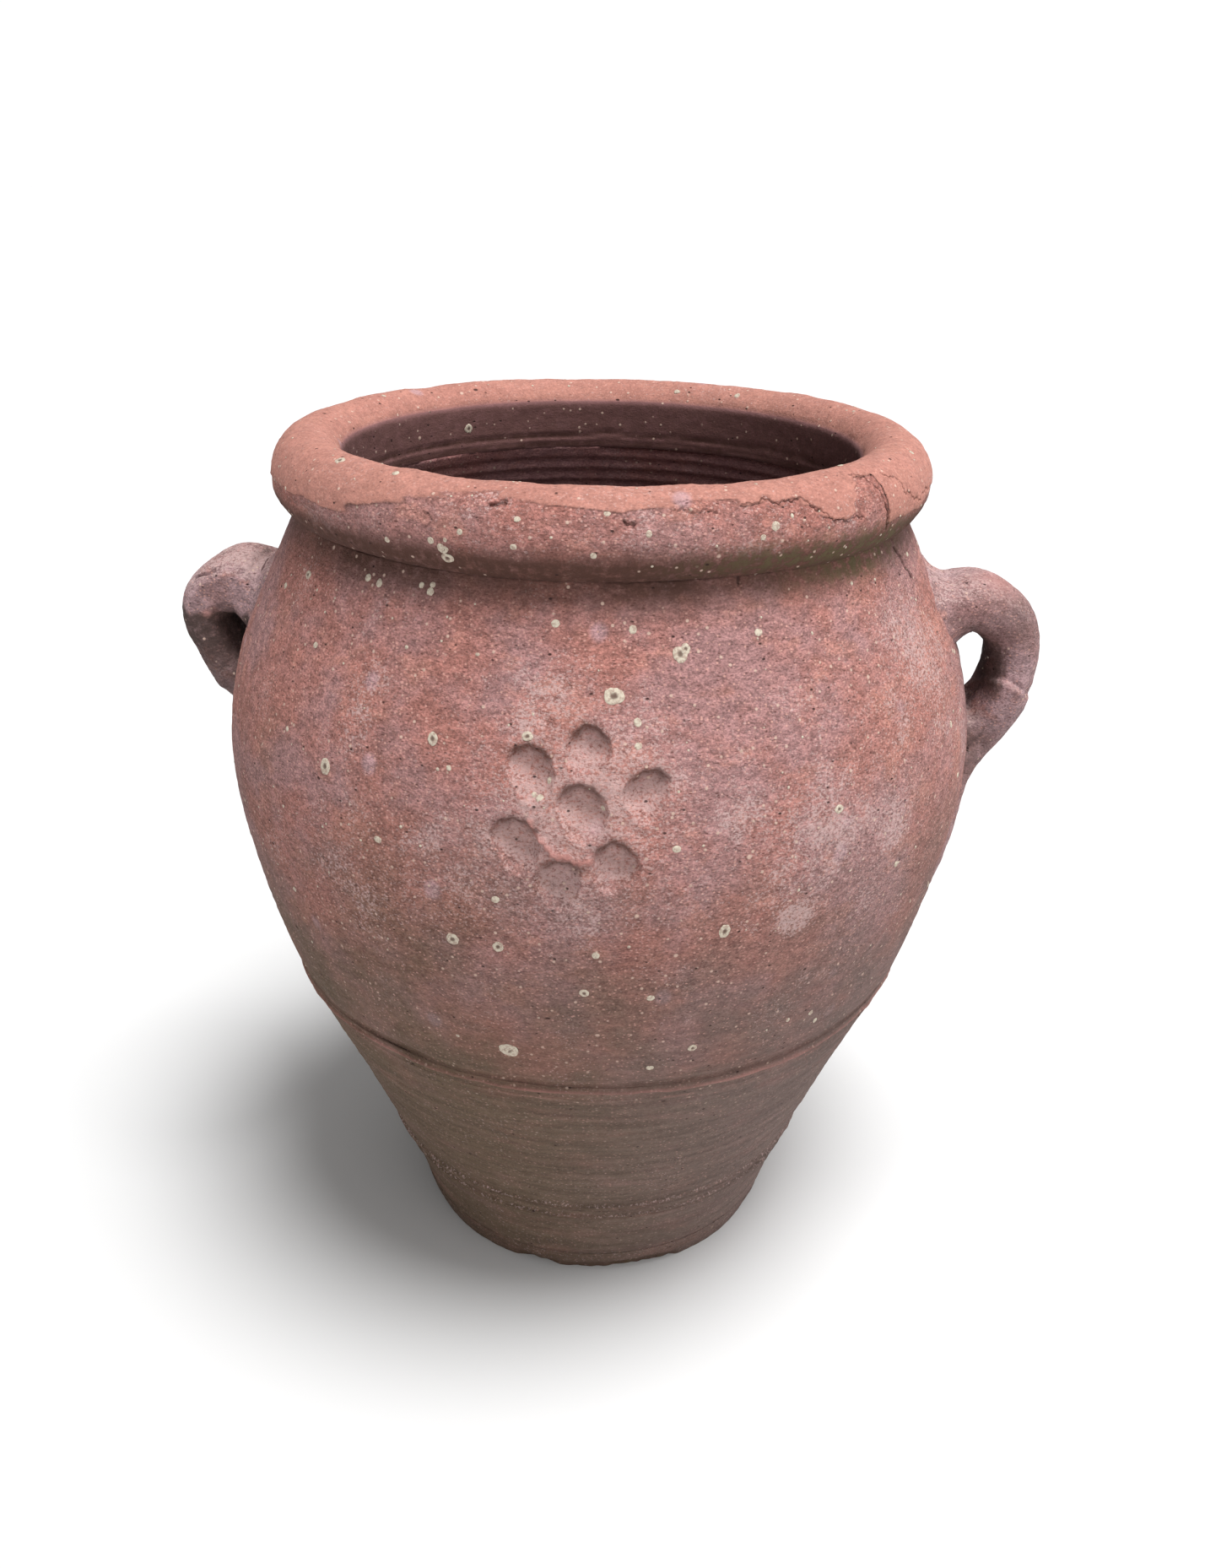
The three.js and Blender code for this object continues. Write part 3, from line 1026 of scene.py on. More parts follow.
@dataclass
class JarWall:
    """The jar's thrown wall: its outline, thickness, marks and weather."""

    stations: Sequence[tuple[float, float]] = (
        (121.5, 12), (133, 52), (162.6, 126), (202.3, 226), (223, 334), (214.5, 396), (193, 444),
        (175, 482))
    floor: float = 18
    foot_wall: float = 19
    body_wall: float = 14
    neck_wall: float = 28
    foot_join: float = 69
    belly_join: float = 207
    scarf: float = 7
    ring_count: int = 7
    ring_pitch: float = 9
    ring_depth: float = 1.9
    rings_below_neck: float = 2
    ring_rise: float = 0.3
    ring_fall: float = 0.55
    faintest_ring: float = 0.15
    bevel_inset: float = 4
    front_gather: float = 0.3
    upper_rings: DrawnRings = DrawnRings(12.5, 0.2, 2, 21, (225, 260, 440, 482))
    lower_rings: DrawnRings = DrawnRings(7.5, 0.16, 1.2, 22, (80, 90, 190, 198))
    fullness: float = 1.4
    # Height and half height of the right side's fuller belly
    fullest: tuple[float, float] = (334, 60)
    crack_radius: float = 178
    rosette: Rosette = field(default_factory=Rosette)
    marks: Sequence[TurnedMark] = (
        TurnedMark(202.8, 4.5, 1.8, 0.3, 3),
        TurnedMark(195.5, 2.6, 0.5, 0.9, 4),
        TurnedMark(210, 10, -1.5, 0.4, 5),
        TurnedMark(75, 4, 2.2, 0.25, 6),
        TurnedMark(71.5, 3, -1.0, 0.25, 6),
        TurnedMark(63, 4, 2.1, 0.3, 7),
        TurnedMark(59.5, 3, -0.9, 0.3, 7),
    )
    cracks: Sequence[Crack] = (
        Crack(((61.6, 488), (61.1, 477), (63, 467), (64.6, 458)), 1.5, 1.4),
        Crack(((21.4, 486), (21.6, 479)), 1.5, 1.0),
    )
    fine_bands: Sequence[tuple[float, float]] = ((58, 80), (192, 214))

    def __post_init__(self) -> None:
        """Samples the outline once."""
        line = SmoothLine(self.stations).at(np.linspace(0, 1, 4000))
        self.line_radius, self.line_height = line.T

    @property
    def foot(self) -> float:
        """Height of the foot's widest edge."""
        return self.stations[0][1]

    @property
    def neck(self) -> float:
        """Height of the neck's top."""
        return self.stations[-1][1]

    def radius(self, height: np.ndarray) -> np.ndarray:
        """Gives the smooth wall's outer radius at heights in millimetres."""
        return np.interp(height, self.line_height, self.line_radius)

    def slope(self, height: np.ndarray) -> np.ndarray:
        """Gives how fast the radius grows with height."""
        return (self.radius(height + 1) - self.radius(height - 1)) / 2

    def gathered(self, azimuth: np.ndarray) -> np.ndarray:
        """Draws azimuths in towards the front, where the marks are finer."""
        return azimuth - self.front_gather * np.sin(azimuth)

    def thickness(self, height: np.ndarray) -> np.ndarray:
        """Gives the wall's thickness.

        Args:
            height: Heights in millimetres.

        Returns:
            Millimetres at each height.
        """
        foot = 1 - smooth_step(height, self.foot, self.stations[3][1])
        neck = smooth_step(height, self.stations[5][1], self.neck)
        return (self.body_wall + (self.foot_wall - self.body_wall) * foot
                + (self.neck_wall - self.body_wall) * neck)

    def relief(self, azimuth: np.ndarray, height: np.ndarray) -> np.ndarray:
        """Gives the hand's and the wheel's marks on the outside.

        Args:
            azimuth: Azimuths in radians.
            height: Heights in millimetres.

        Returns:
            Millimetres out of the smooth wall.
        """
        lift = sum(band.at(azimuth, height) for band in self.marks)
        drawn = 0.5 + 0.5 * np.sin(height / 31 + wander(azimuth, 23))
        lift += self.upper_rings.at(azimuth, height) * drawn
        lift += self.lower_rings.at(azimuth, height)
        to_right = np.maximum(np.sin(azimuth), 0) ** 2
        lift += self.fullness * to_right * hump(height, *self.fullest)
        for crack in self.cracks:
            lift -= crack.depth * self.crack_share(crack, azimuth, height)
        return lift + self.rosette.relief(azimuth, height, self.radius(height))

    def crack_share(self, crack: Crack, azimuth: np.ndarray, height: np.ndarray) -> np.ndarray:
        """Gives how much of a crack is at each place, 1 in it and 0 outside it."""
        return crack.at(np.degrees(azimuth), height, math.radians(1) * self.crack_radius, 1)

    def inner_ripple(self, azimuth: np.ndarray, height: np.ndarray) -> np.ndarray:
        """Gives the throwing rings inside, one long spiral that the fingers drew up.

        Args:
            azimuth: Azimuths in radians.
            height: Heights in millimetres.

        Returns:
            Millimetres out from the jar's axis.
        """
        below = self.neck - self.rings_below_neck - height + self.ring_pitch * azimuth / 2 / math.pi
        reach = self.ring_count * self.ring_pitch
        strength = between(below, -4, 3, reach - 10, reach + 40)
        share = (below / self.ring_pitch) % 1
        ripple = between(share, 0, self.ring_rise, self.ring_fall, 1)
        return self.ring_depth * ripple * (self.faintest_ring + (1 - self.faintest_ring) * strength)

    def place(self, azimuth: float, height: float, out: float = 0) -> Vector:
        """Gives a point on the outside, in metres.

        Args:
            azimuth: Degrees from the front towards +X.
            height: Height in millimetres.
            out: Millimetres out of the wall.

        Returns:
            The point.
        """
        reach = float(self.radius(np.array([height]))[0]) + out
        return from_axis(azimuth, reach, height) * MM


def from_axis(azimuth: float, reach: float, height: float) -> Vector:
    """Gives the way to a place at an azimuth in degrees, a distance out and a height."""
    angle = math.radians(azimuth)
    return Vector((reach * math.sin(angle), -reach * math.cos(angle), height))


def polar(points: np.ndarray) -> tuple[np.ndarray, np.ndarray, np.ndarray]:
    """Gives radius, azimuth from the front and height of points."""
    return (np.hypot(points[:, 0], points[:, 1]), np.arctan2(points[:, 0], -points[:, 1]),
            points[:, 2])


def from_polar(radius: np.ndarray, azimuth: np.ndarray, height: np.ndarray) -> np.ndarray:
    """Gives points from radius, azimuth from the front and height."""
    return np.column_stack([radius * np.sin(azimuth), -radius * np.cos(azimuth), height])


def pairs(radius: np.ndarray, height: np.ndarray) -> list[tuple[float, float]]:
    """Pairs each radius with its height, as a section's points."""
    return list(zip(radius.tolist(), height.tolist()))


@dataclass
class ThrownStage:
    """One stage of the wall, from one join to the next."""

    name: str
    node: str
    slot: str
    wall: JarWall
    low: float
    high: float
    low_scarf: float
    high_scarf: float
    steps: int = 480
    row: float = 2.6
    fine_row: float = 0.9
    inner_rows: int = 20
    ring_rows: int = 0
    floor_cove: float = 0
    # Least and largest azimuth in degrees, and least and largest height
    close_marks: Sequence[tuple[float, float, float, float]] = ()
    weather: Sequence[Weather] = (Weather(110, 1.0, 1), Weather(16, 0.4, 2), Weather(6, 0.4, 2))
    # Soil lines in the grooves beside the turned ridges, partly soil and partly painted shade
    soil_and_shade_lines: Sequence[TintLine] = (
        TintLine(207.5, 2, 0.45), TintLine(72.2, 1.1, 0.7, 0.8, 6),
        TintLine(60.2, 1.1, 0.6, 0.8, 7))
    # Pale lines on the foot ridges' crests, partly bloom and partly painted highlight
    bloom_and_highlight_lines: Sequence[TintLine] = (
        TintLine(76, 1.0, 0.5, 0.6, 6), TintLine(64, 1.0, 0.5, 0.6, 7))
    # The rubbed crest of the belly join's ridge is partly wear and partly painted highlight
    crest_wear_and_highlight_line: TintLine = TintLine(203.2, 1.0, 1, 0.8, 3)
    broken_line: TintLine = TintLine(195.5, 0.8, 0.5)
    # Heights where the soil and painted shade under the rim, the lighter foot and the moss begin
    # and where they are full
    neck_soil_and_shade: tuple[float, float] = (460, 481)
    lighter_foot: tuple[float, float] = (50, 30)
    moss_height: tuple[float, float] = (466, 478)
    # Middle and half width of the moss, in degrees
    moss_azimuth: tuple[float, float] = (48, 14)
    # Azimuth in degrees, height, half width, half height and strength of each patch of bloom
    patches: Sequence[tuple[float, float, float, float, float]] = (
        (-2, 386, 66, 54, 0.4), (-3, 332, 80, 18, 0.3), (24, 372, 40, 34, 0.4),
        (42, 345, 40, 60, 0.45), (56, 432, 34, 34, 0.6), (26.4, 315, 10, 8, 1.6),
        (-35, 422, 12, 15, 0.5), (-9.6, 424, 6, 8, 0.7), (-32, 340, 70, 60, 0.3),
        (30, 424, 24, 16, 0.3), (70, 380, 50, 70, 0.4))

    def outside_rows(self) -> np.ndarray:
        """Spaces the outside's rows, closely where the wall has fine marks.

        Returns:
            The height of each row.
        """
        rows = [self.low]
        while rows[-1] < self.high - 0.2:
            close = any(low <= rows[-1] <= high for low, high in self.wall.fine_bands)
            rows.append(min(rows[-1] + (self.fine_row if close else self.row), self.high))
        return np.array(rows)

    def section(self) -> list[tuple[float, float]]:
        """Draws the stage's section: outside upwards, top joint, inside downwards.

        Returns:
            Radius and height of each point.
        """
        outside = self.outside_rows()
        ringed = (self.wall.ring_count + 1) * self.wall.ring_pitch if self.ring_rows else 0
        top = self.high + self.high_scarf
        inside = np.linspace(top - ringed, self.low + self.low_scarf, self.inner_rows + 1)
        inside = np.append(np.linspace(top, top - ringed, self.ring_rows, endpoint=False), inside)
        reach = self.wall.radius(inside) - self.wall.thickness(inside)
        points = pairs(self.wall.radius(outside), outside) + pairs(reach, inside)
        if self.floor_cove:
            toe = float(reach[-1])
            for degrees in (15, 30, 45, 60, 75, 84):
                angle = math.radians(degrees)
                points.append((toe - self.floor_cove * (1 - math.cos(angle)),
                               self.low + self.floor_cove * (1 - math.sin(angle))))
            points.append((toe - self.floor_cove, self.low))
        return points

    def build(self, clay: bpy.types.Material) -> bpy.types.Object:
        """Throws the stage, marks it and lets it weather.

        Args:
            clay: Its material.

        Returns:
            The finished piece.
        """
        piece = thrown(self.name, self.section(), self.steps)
        radius, azimuth, height = polar(points_of(piece))
        move_points(piece, from_polar(radius, self.wall.gathered(azimuth), height))
        for left, right, low, high in self.close_marks:
            radius, azimuth, height = polar(points_of(piece))
            degrees = np.degrees(azimuth)
            refine(piece, (degrees > left) & (degrees < right) & (height > low) & (height < high)
                   & (radius > self.wall.radius(height) - 1), 2)
        radius, azimuth, height = polar(points_of(piece))
        smooth = self.wall.radius(height)
        outside = radius > smooth - 1
        lift = np.where(outside, self.wall.relief(azimuth, height), 0)
        inner = (radius < smooth - self.wall.thickness(height) + 1) & ~outside
        lift = lift + np.where(inner, self.wall.inner_ripple(azimuth, height), 0)
        move_points(piece, from_polar(radius + lift, azimuth, height))
        let_weather(piece, self.weather)
        self.dress(piece, outside)
        finish(piece, clay, self.slot, self.node)
        return piece

    def dress(self, piece: bpy.types.Object, outside: np.ndarray) -> None:
        """Keeps where bloom, soil and moss lie, with painted shade under the rim, in the grooves
        and under the presses' upper edges, and painted highlights on the crests and the presses'
        floors.

        Args:
            piece: The thrown stage.
            outside: Which points are on the outer wall.
        """
        _, azimuth, height = polar(points_of(piece))
        degrees = np.degrees(azimuth)
        radius = self.wall.radius(height)
        bloom = np.zeros_like(height)
        for middle, level, wide, tall, strength in self.patches:
            away = np.hypot(np.radians(degrees - middle) * radius / wide, (height - level) / tall)
            bloom += strength * hump(away, 0, 1)
        ridged = sum(line.at(azimuth, height) for line in self.bloom_and_highlight_lines)
        # Rubbed crests, partly wear and partly painted highlight
        rubbed_and_lit_crest = self.crest_wear_and_highlight_line.at(azimuth, height) * (0.8 + 0.3 * wander(azimuth, 32, 9))
        broken = smooth_step(wander(azimuth, 33, 9), 0, 0.5)
        rubbed_and_lit_crest += self.broken_line.at(azimuth, height) * broken
        # Soil and painted shade under the rim, rising to full just below it
        soil = smooth_step(height, *self.neck_soil_and_shade) * (0.85 + 0.2 * wander(azimuth, 35))
        for line in self.soil_and_shade_lines:
            soil += line.at(azimuth, height)
        # Less soil, and so a lighter colour, towards the foot
        soil -= 0.15 * smooth_step(height, *self.lighter_foot)
        # Painted shade in the grooves of the inner rings
        groove_shade = self.wall.inner_ripple(azimuth, height) / self.wall.ring_depth
        press_edge_soil_and_shade, dust_and_shading, rubbed = self.wall.rosette.dust_and_shading(azimuth, height, radius)
        halo = self.wall.rosette.halo(azimuth, height, radius)
        moss = hump(degrees, *self.moss_azimuth) * smooth_step(height, *self.moss_height)
        cracked = sum(self.wall.crack_share(crack, azimuth, height) for crack in self.wall.cracks)
        keep(piece, bloom=(bloom + 1.3 * dust_and_shading + 0.4 * halo + ridged) * outside,
             soil=np.where(outside, soil + 0.75 * press_edge_soil_and_shade, 0.12 * groove_shade),
             moss=moss * outside, rubbed=(0.75 * rubbed + 0.08 * halo + 0.45 * rubbed_and_lit_crest) * outside,
             crack=cracked * outside, inside=0.5 * (1 - outside))


@dataclass
class FootSlab:
    """The thick floor, with the worn and chipped bevel of the foot."""

    wall: JarWall
    steps: int = 480
    chip_depth: float = 3.2
    # Degrees where the worn stretches start, are full, thin out and end
    worn_front: tuple[float, float, float, float] = (-34, -20, 25, 28)
    worn_back: tuple[float, float, float, float] = (150, 158, 170, 176)
    # Heights where the edge is whole and where it is chipped
    worn_height: tuple[float, float] = (9, 5)
    weather: Sequence[Weather] = (Weather(9, 0.35, 2), Weather(4, 0.2, 2))

    def build(self, clay: bpy.types.Material) -> bpy.types.Object:
        """Presses out the slab and chips its edge.

        Args:
            clay: Its material.

        Returns:
            The finished piece.
        """
        foot = self.wall.stations[0][0]
        bottom = foot - self.wall.bevel_inset
        edge = [(0.0, 0.0), (bottom * 0.5, 0.0), (bottom * 0.85, 0.0)]
        edge += [(bottom + self.wall.bevel_inset * (1 - math.cos(turn)) * 0.15, 0.8 * turn)
                 for turn in np.linspace(0, 1, 4)]
        edge += [(foot + (bottom - foot) * (1 - rise) ** 1.2, self.wall.foot * rise)
                 for rise in np.linspace(0.12, 1, 9)]
        rest = np.linspace(self.wall.foot + 1.5, self.wall.floor + 0.3, 4)
        edge += pairs(self.wall.radius(rest), rest)
        edge += [(self.wall.radius(rest)[-1] * share, self.wall.floor) for share in (0.8, 0.4, 0)]
        piece = thrown("foot_slab", edge, self.steps)
        radius, azimuth, height = polar(points_of(piece))
        azimuth = self.wall.gathered(azimuth)
        rim = smooth_step(radius, bottom - 6, bottom - 1)
        degrees = np.degrees(azimuth)
        worn = between(degrees, *self.worn_front) + 0.7 * between(degrees, *self.worn_back)
        ragged = 0.75 + 0.4 * wander(azimuth, 41, slowest=9, waves=30)
        chips = worn * ragged + 0.12 + 0.1 * wander(azimuth, 42, slowest=2, waves=12)
        whole, chipped_to = self.worn_height
        low = smooth_step(height, whole + 2 * wander(azimuth, 43, slowest=7), chipped_to)
        radius = radius - self.chip_depth * chips * rim * low
        move_points(piece, from_polar(radius, azimuth, height))
        chipped = np.clip(worn * ragged, 0, 1) * low
        keep(piece, bloom=0.2 * (1 - chipped), soil=0.2 + 0.5 * chipped, moss=0.6 * chipped)
        let_weather(piece, self.weather)
        points = points_of(piece)
        points[:, 2] = np.maximum(points[:, 2], 0)
        move_points(piece, points)
        finish(piece, clay, "foot_clay", "base_disc")
        return piece


@dataclass
class RolledRim:
    """The thick coil round the mouth, smooth skin above and worn clay in front."""

    wall: JarWall
    width: float = 41
    height: float = 44.6
    offset: float = 8.8
    sink: float = 2.5
    mouth_edge: float = 1.5
    steps: int = 560
    sides: int = 54
    face_rows: int = 15
    face_marks: Sequence[TurnedMark] = (TurnedMark(490.5, 3.2, 1.3, 0.3, 57),
                                        TurnedMark(484.5, 3, 1.1, 0.4, 58))
    weather: Sequence[Weather] = (Weather(60, 0.8, 1), Weather(14, 0.35, 2), Weather(4, 0.34, 2))
    # Least and largest azimuth, and least and largest roll, in degrees
    close_views: Sequence[tuple[float, float, float, float]] = (
        (-62, 82, -50, 100), (17, 74, -22, 72), (-20, 8, 22, 54))
    skin_step: float = 0.75
    mouth_roll: float = 146
    crack_radius: float = 184
    coil_radius: float = 21.4
    # Degrees where the moss starts, is full, thins out and ends, and its middle and half width
    moss_azimuth: tuple[float, float, float, float] = (2, 30, 52, 66)
    moss_roll: tuple[float, float] = (-33, 25)
    # Azimuth and roll of the flaked skin's lower edge, in degrees
    skin_line: Sequence[tuple[float, float]] = (
        (-180, 30), (-120, 20), (-70, 8), (-50, 5), (-40, 16), (-34, 28), (-28, 42), (-20, 58),
        (-14, 62), (-8, 52), (-2, 46), (3, 38), (7, 50), (12, 60), (18, 56), (22, 48), (25.3, 51),
        (27, 43), (30.5, 47), (32.4, 37), (34.6, 22), (36.9, 12), (39.4, 8), (41, 20), (42.5, 45),
        (44, 64), (48.6, 62), (49.6, 20), (50.2, -15), (55, -16), (61.3, -10), (71.4, 0), (90, 16),
        (130, 28), (180, 30))
    cracks: Sequence[Crack] = (
        Crack(((21, 44), (25.3, 51), (27, 43), (30.5, 47), (32.4, 37), (34.6, 22), (36.9, 12),
               (39.4, 8), (43, 10)), 0.7, 0.6),
        Crack(((43.5, 66), (46.2, 63), (47.7, 44), (49.2, 18)), 0.7, 0.5),
        Crack(((49.2, 18), (50.1, -17)), 1.3, 1.6),
        Crack(((51.3, 54), (55.2, 40), (55.6, 23), (61.3, 2), (66, 8), (71.4, 3)), 0.7, 0.7),
        Crack(((-16.1, 47), (-14.3, 49)), 2.0, 1.8),
        Crack(((3.1, 31), (4.5, 26)), 1.7, 1.5),
        Crack(((-27, 30), (-25, 22), (-26, 10)), 0.7, 0.4),
        Crack(((10, 44), (14, 40), (17, 42)), 1.0, 0.7),
    )

    def middle(self) -> tuple[float, float]:
        """Gives radius and height of the coil's middle."""
        return (self.wall.stations[-1][0] - self.offset,
                self.wall.neck - self.sink + self.height / 2)

    def place(self, azimuth: float, roll: float) -> tuple[Vector, Vector]:
        """Gives a point on the coil and the way out of it.

        Args:
            azimuth: Degrees from the front towards +X.
            roll: Degrees up from the outward horizontal, round the coil.

        Returns:
            The point in metres, and the outward direction.
        """
        reach, height = self.middle()
        turn = math.radians(roll)
        radius = reach + self.width / 2 * math.cos(turn)
        spot = from_axis(azimuth, radius, height + self.height / 2 * math.sin(turn)) * MM
        return spot, from_axis(azimuth, math.cos(turn), math.sin(turn))

    def section(self) -> list[tuple[float, float]]:
        """Draws the coil's section, round outside and above and upright towards the mouth.

        Returns:
            Radius and height of each point.
        """
        reach, tall = self.middle()
        mouth = self.wall.stations[-1][0] - self.wall.neck_wall
        edge = math.acos((mouth + self.mouth_edge - reach) / (self.width / 2))
        half_width, half_height = self.width / 2, self.height / 2
        points = [(reach + half_width * math.cos(angle), tall + half_height * math.sin(angle))
                  for angle in np.linspace(-math.pi / 2, edge, self.sides)]
        top = points[-1][1]
        points += [(mouth + self.mouth_edge * 0.4, top - self.mouth_edge * 0.5)]
        points += [(mouth, float(height)) for height in
                   np.linspace(top - 2 * self.mouth_edge, self.wall.neck, self.face_rows)]
        return points

    def build(self, clay: bpy.types.Material) -> bpy.types.Object:
        """Rolls the coil, steps its flaked skin and lets it weather.

        Roll is 0 on the outside and 90 on top. Inner is the same roll, counted on over the top
        to the mouth's upright face, which begins at mouth_roll.

        Args:
            clay: Its material.

        Returns:
            The finished piece.
        """
        piece = thrown("rolled_rim", self.section(), self.steps)
        radius, azimuth, height = polar(points_of(piece))
        move_points(piece, from_polar(radius, self.wall.gathered(azimuth), height))
        for left, right, low, high in self.close_views:
            degrees, roll = self.laid_flat(piece)
            refine(piece, (degrees > left) & (degrees < right) & (roll > low) & (roll < high), 1)
        degrees, roll = self.laid_flat(piece)
        radius, azimuth, height = polar(points_of(piece))
        inner = np.where(roll < -90, roll + 360, roll)
        skin = self.skin_left(azimuth, degrees, inner)
        lift = self.skin_step * smooth_step(skin, -0.25, 0.25)
        cracked = np.zeros_like(roll)
        for crack in self.cracks:
            share = crack.at(degrees, roll, math.radians(1) * self.crack_radius,
                             math.radians(1) * self.coil_radius)
            cracked = np.maximum(cracked, share)
            lift = lift - crack.depth * share
        lift += 0.5 * wander(azimuth, 53) - 0.3
        mouth = self.mouth_roll
        lift *= ((self.middle()[1] - height) < self.height * 0.42) & (inner < mouth)
        outward = np.radians(roll)
        grooved = sum(band.at(azimuth, height) for band in self.face_marks) * (inner > mouth + 19)
        move_points(piece, from_polar(radius + lift * np.cos(outward) + grooved, azimuth,
                                      height + lift * np.sin(outward)))
        let_weather(piece, self.weather)
        # Soil and painted shade on the coil's underside, stronger further under it
        soil = smooth_step(roll, 4 + 6 * wander(azimuth, 54), -30)
        soil = np.where(roll < -120, 0, soil) + 0.25 * hump(skin, -0.15, 0.25)
        # Painted shade on the mouth's inner face, a little darker in its grooves
        mouth_shade = 0.72 + 0.2 * np.clip(grooved, 0, 1)
        mouth_shade *= smooth_step(inner, mouth + 1, mouth + 10)
        worn = smooth_step(skin, 0.2, -0.6) * smooth_step(roll, -55, -10)
        keep(piece, soil=np.maximum(soil, mouth_shade), crack=0.45 * cracked,
             skin=smooth_step(skin, -0.3, 0.3),
             bloom=0.22 * worn * (0.7 + 0.6 * wander(azimuth, 55)) + 0.1,
             moss=0.9 * between(degrees, *self.moss_azimuth) * hump(roll, *self.moss_roll),
             inside=smooth_step(inner, mouth + 1, mouth + 7))
        finish(piece, clay, "rim_clay", "rim_roll")
        return piece

    def skin_left(self, azimuth: np.ndarray, degrees: np.ndarray, roll: np.ndarray) -> np.ndarray:
        """Gives where the smooth skin is left and where it has flaked off.

        Args:
            azimuth: Azimuths in radians.
            degrees: The same in degrees.
            roll: Degrees of roll, which grow over the top and down the mouth's face.

        Returns:
            1 on the skin and -1 on bare clay, with a ragged edge.
        """
        line = np.interp(degrees, *np.array(self.skin_line).T)
        ragged = 5 * wander(azimuth, 51, slowest=11, waves=60) + 3 * wander(azimuth, 52)
        ragged += 4 * np.sin(roll * 0.35 + 3 * wander(azimuth, 56, 5))
        return np.clip((roll - line - ragged) / 6, -1, 1) * smooth_step(roll, 230, 200)

    def laid_flat(self, piece: bpy.types.Object) -> tuple[np.ndarray, np.ndarray]:
        """Lays the coil's points out flat.

        Args:
            piece: The coil.

        Returns:
            Degrees round the jar and degrees of roll round the coil.
        """
        radius, azimuth, height = polar(points_of(piece))
        reach, tall = self.middle()
        roll = np.arctan2((height - tall) / self.height, (radius - reach) / self.width)
        return np.degrees(azimuth), np.degrees(roll)


# The handles


def squared(angle: np.ndarray, roundness: float | np.ndarray) -> tuple[np.ndarray, np.ndarray]:
    """Goes round an outline that is a circle at roundness 2 and squarer above it.

    Args:
        angle: Angles round it, in radians.
        roundness: How square it is.

    Returns:
        Two coordinates between -1 and 1.
    """
    power = 2 / roundness
    return (np.sign(np.cos(angle)) * np.abs(np.cos(angle)) ** power,
            np.sign(np.sin(angle)) * np.abs(np.sin(angle)) ** power)


def near_spot(points: np.ndarray, spot: Sequence[float], reach: float) -> np.ndarray:
    """Gives a soft bell round a spot, 1 at its middle."""
    return hump(np.linalg.norm(points - spot, axis=1), 0, reach)


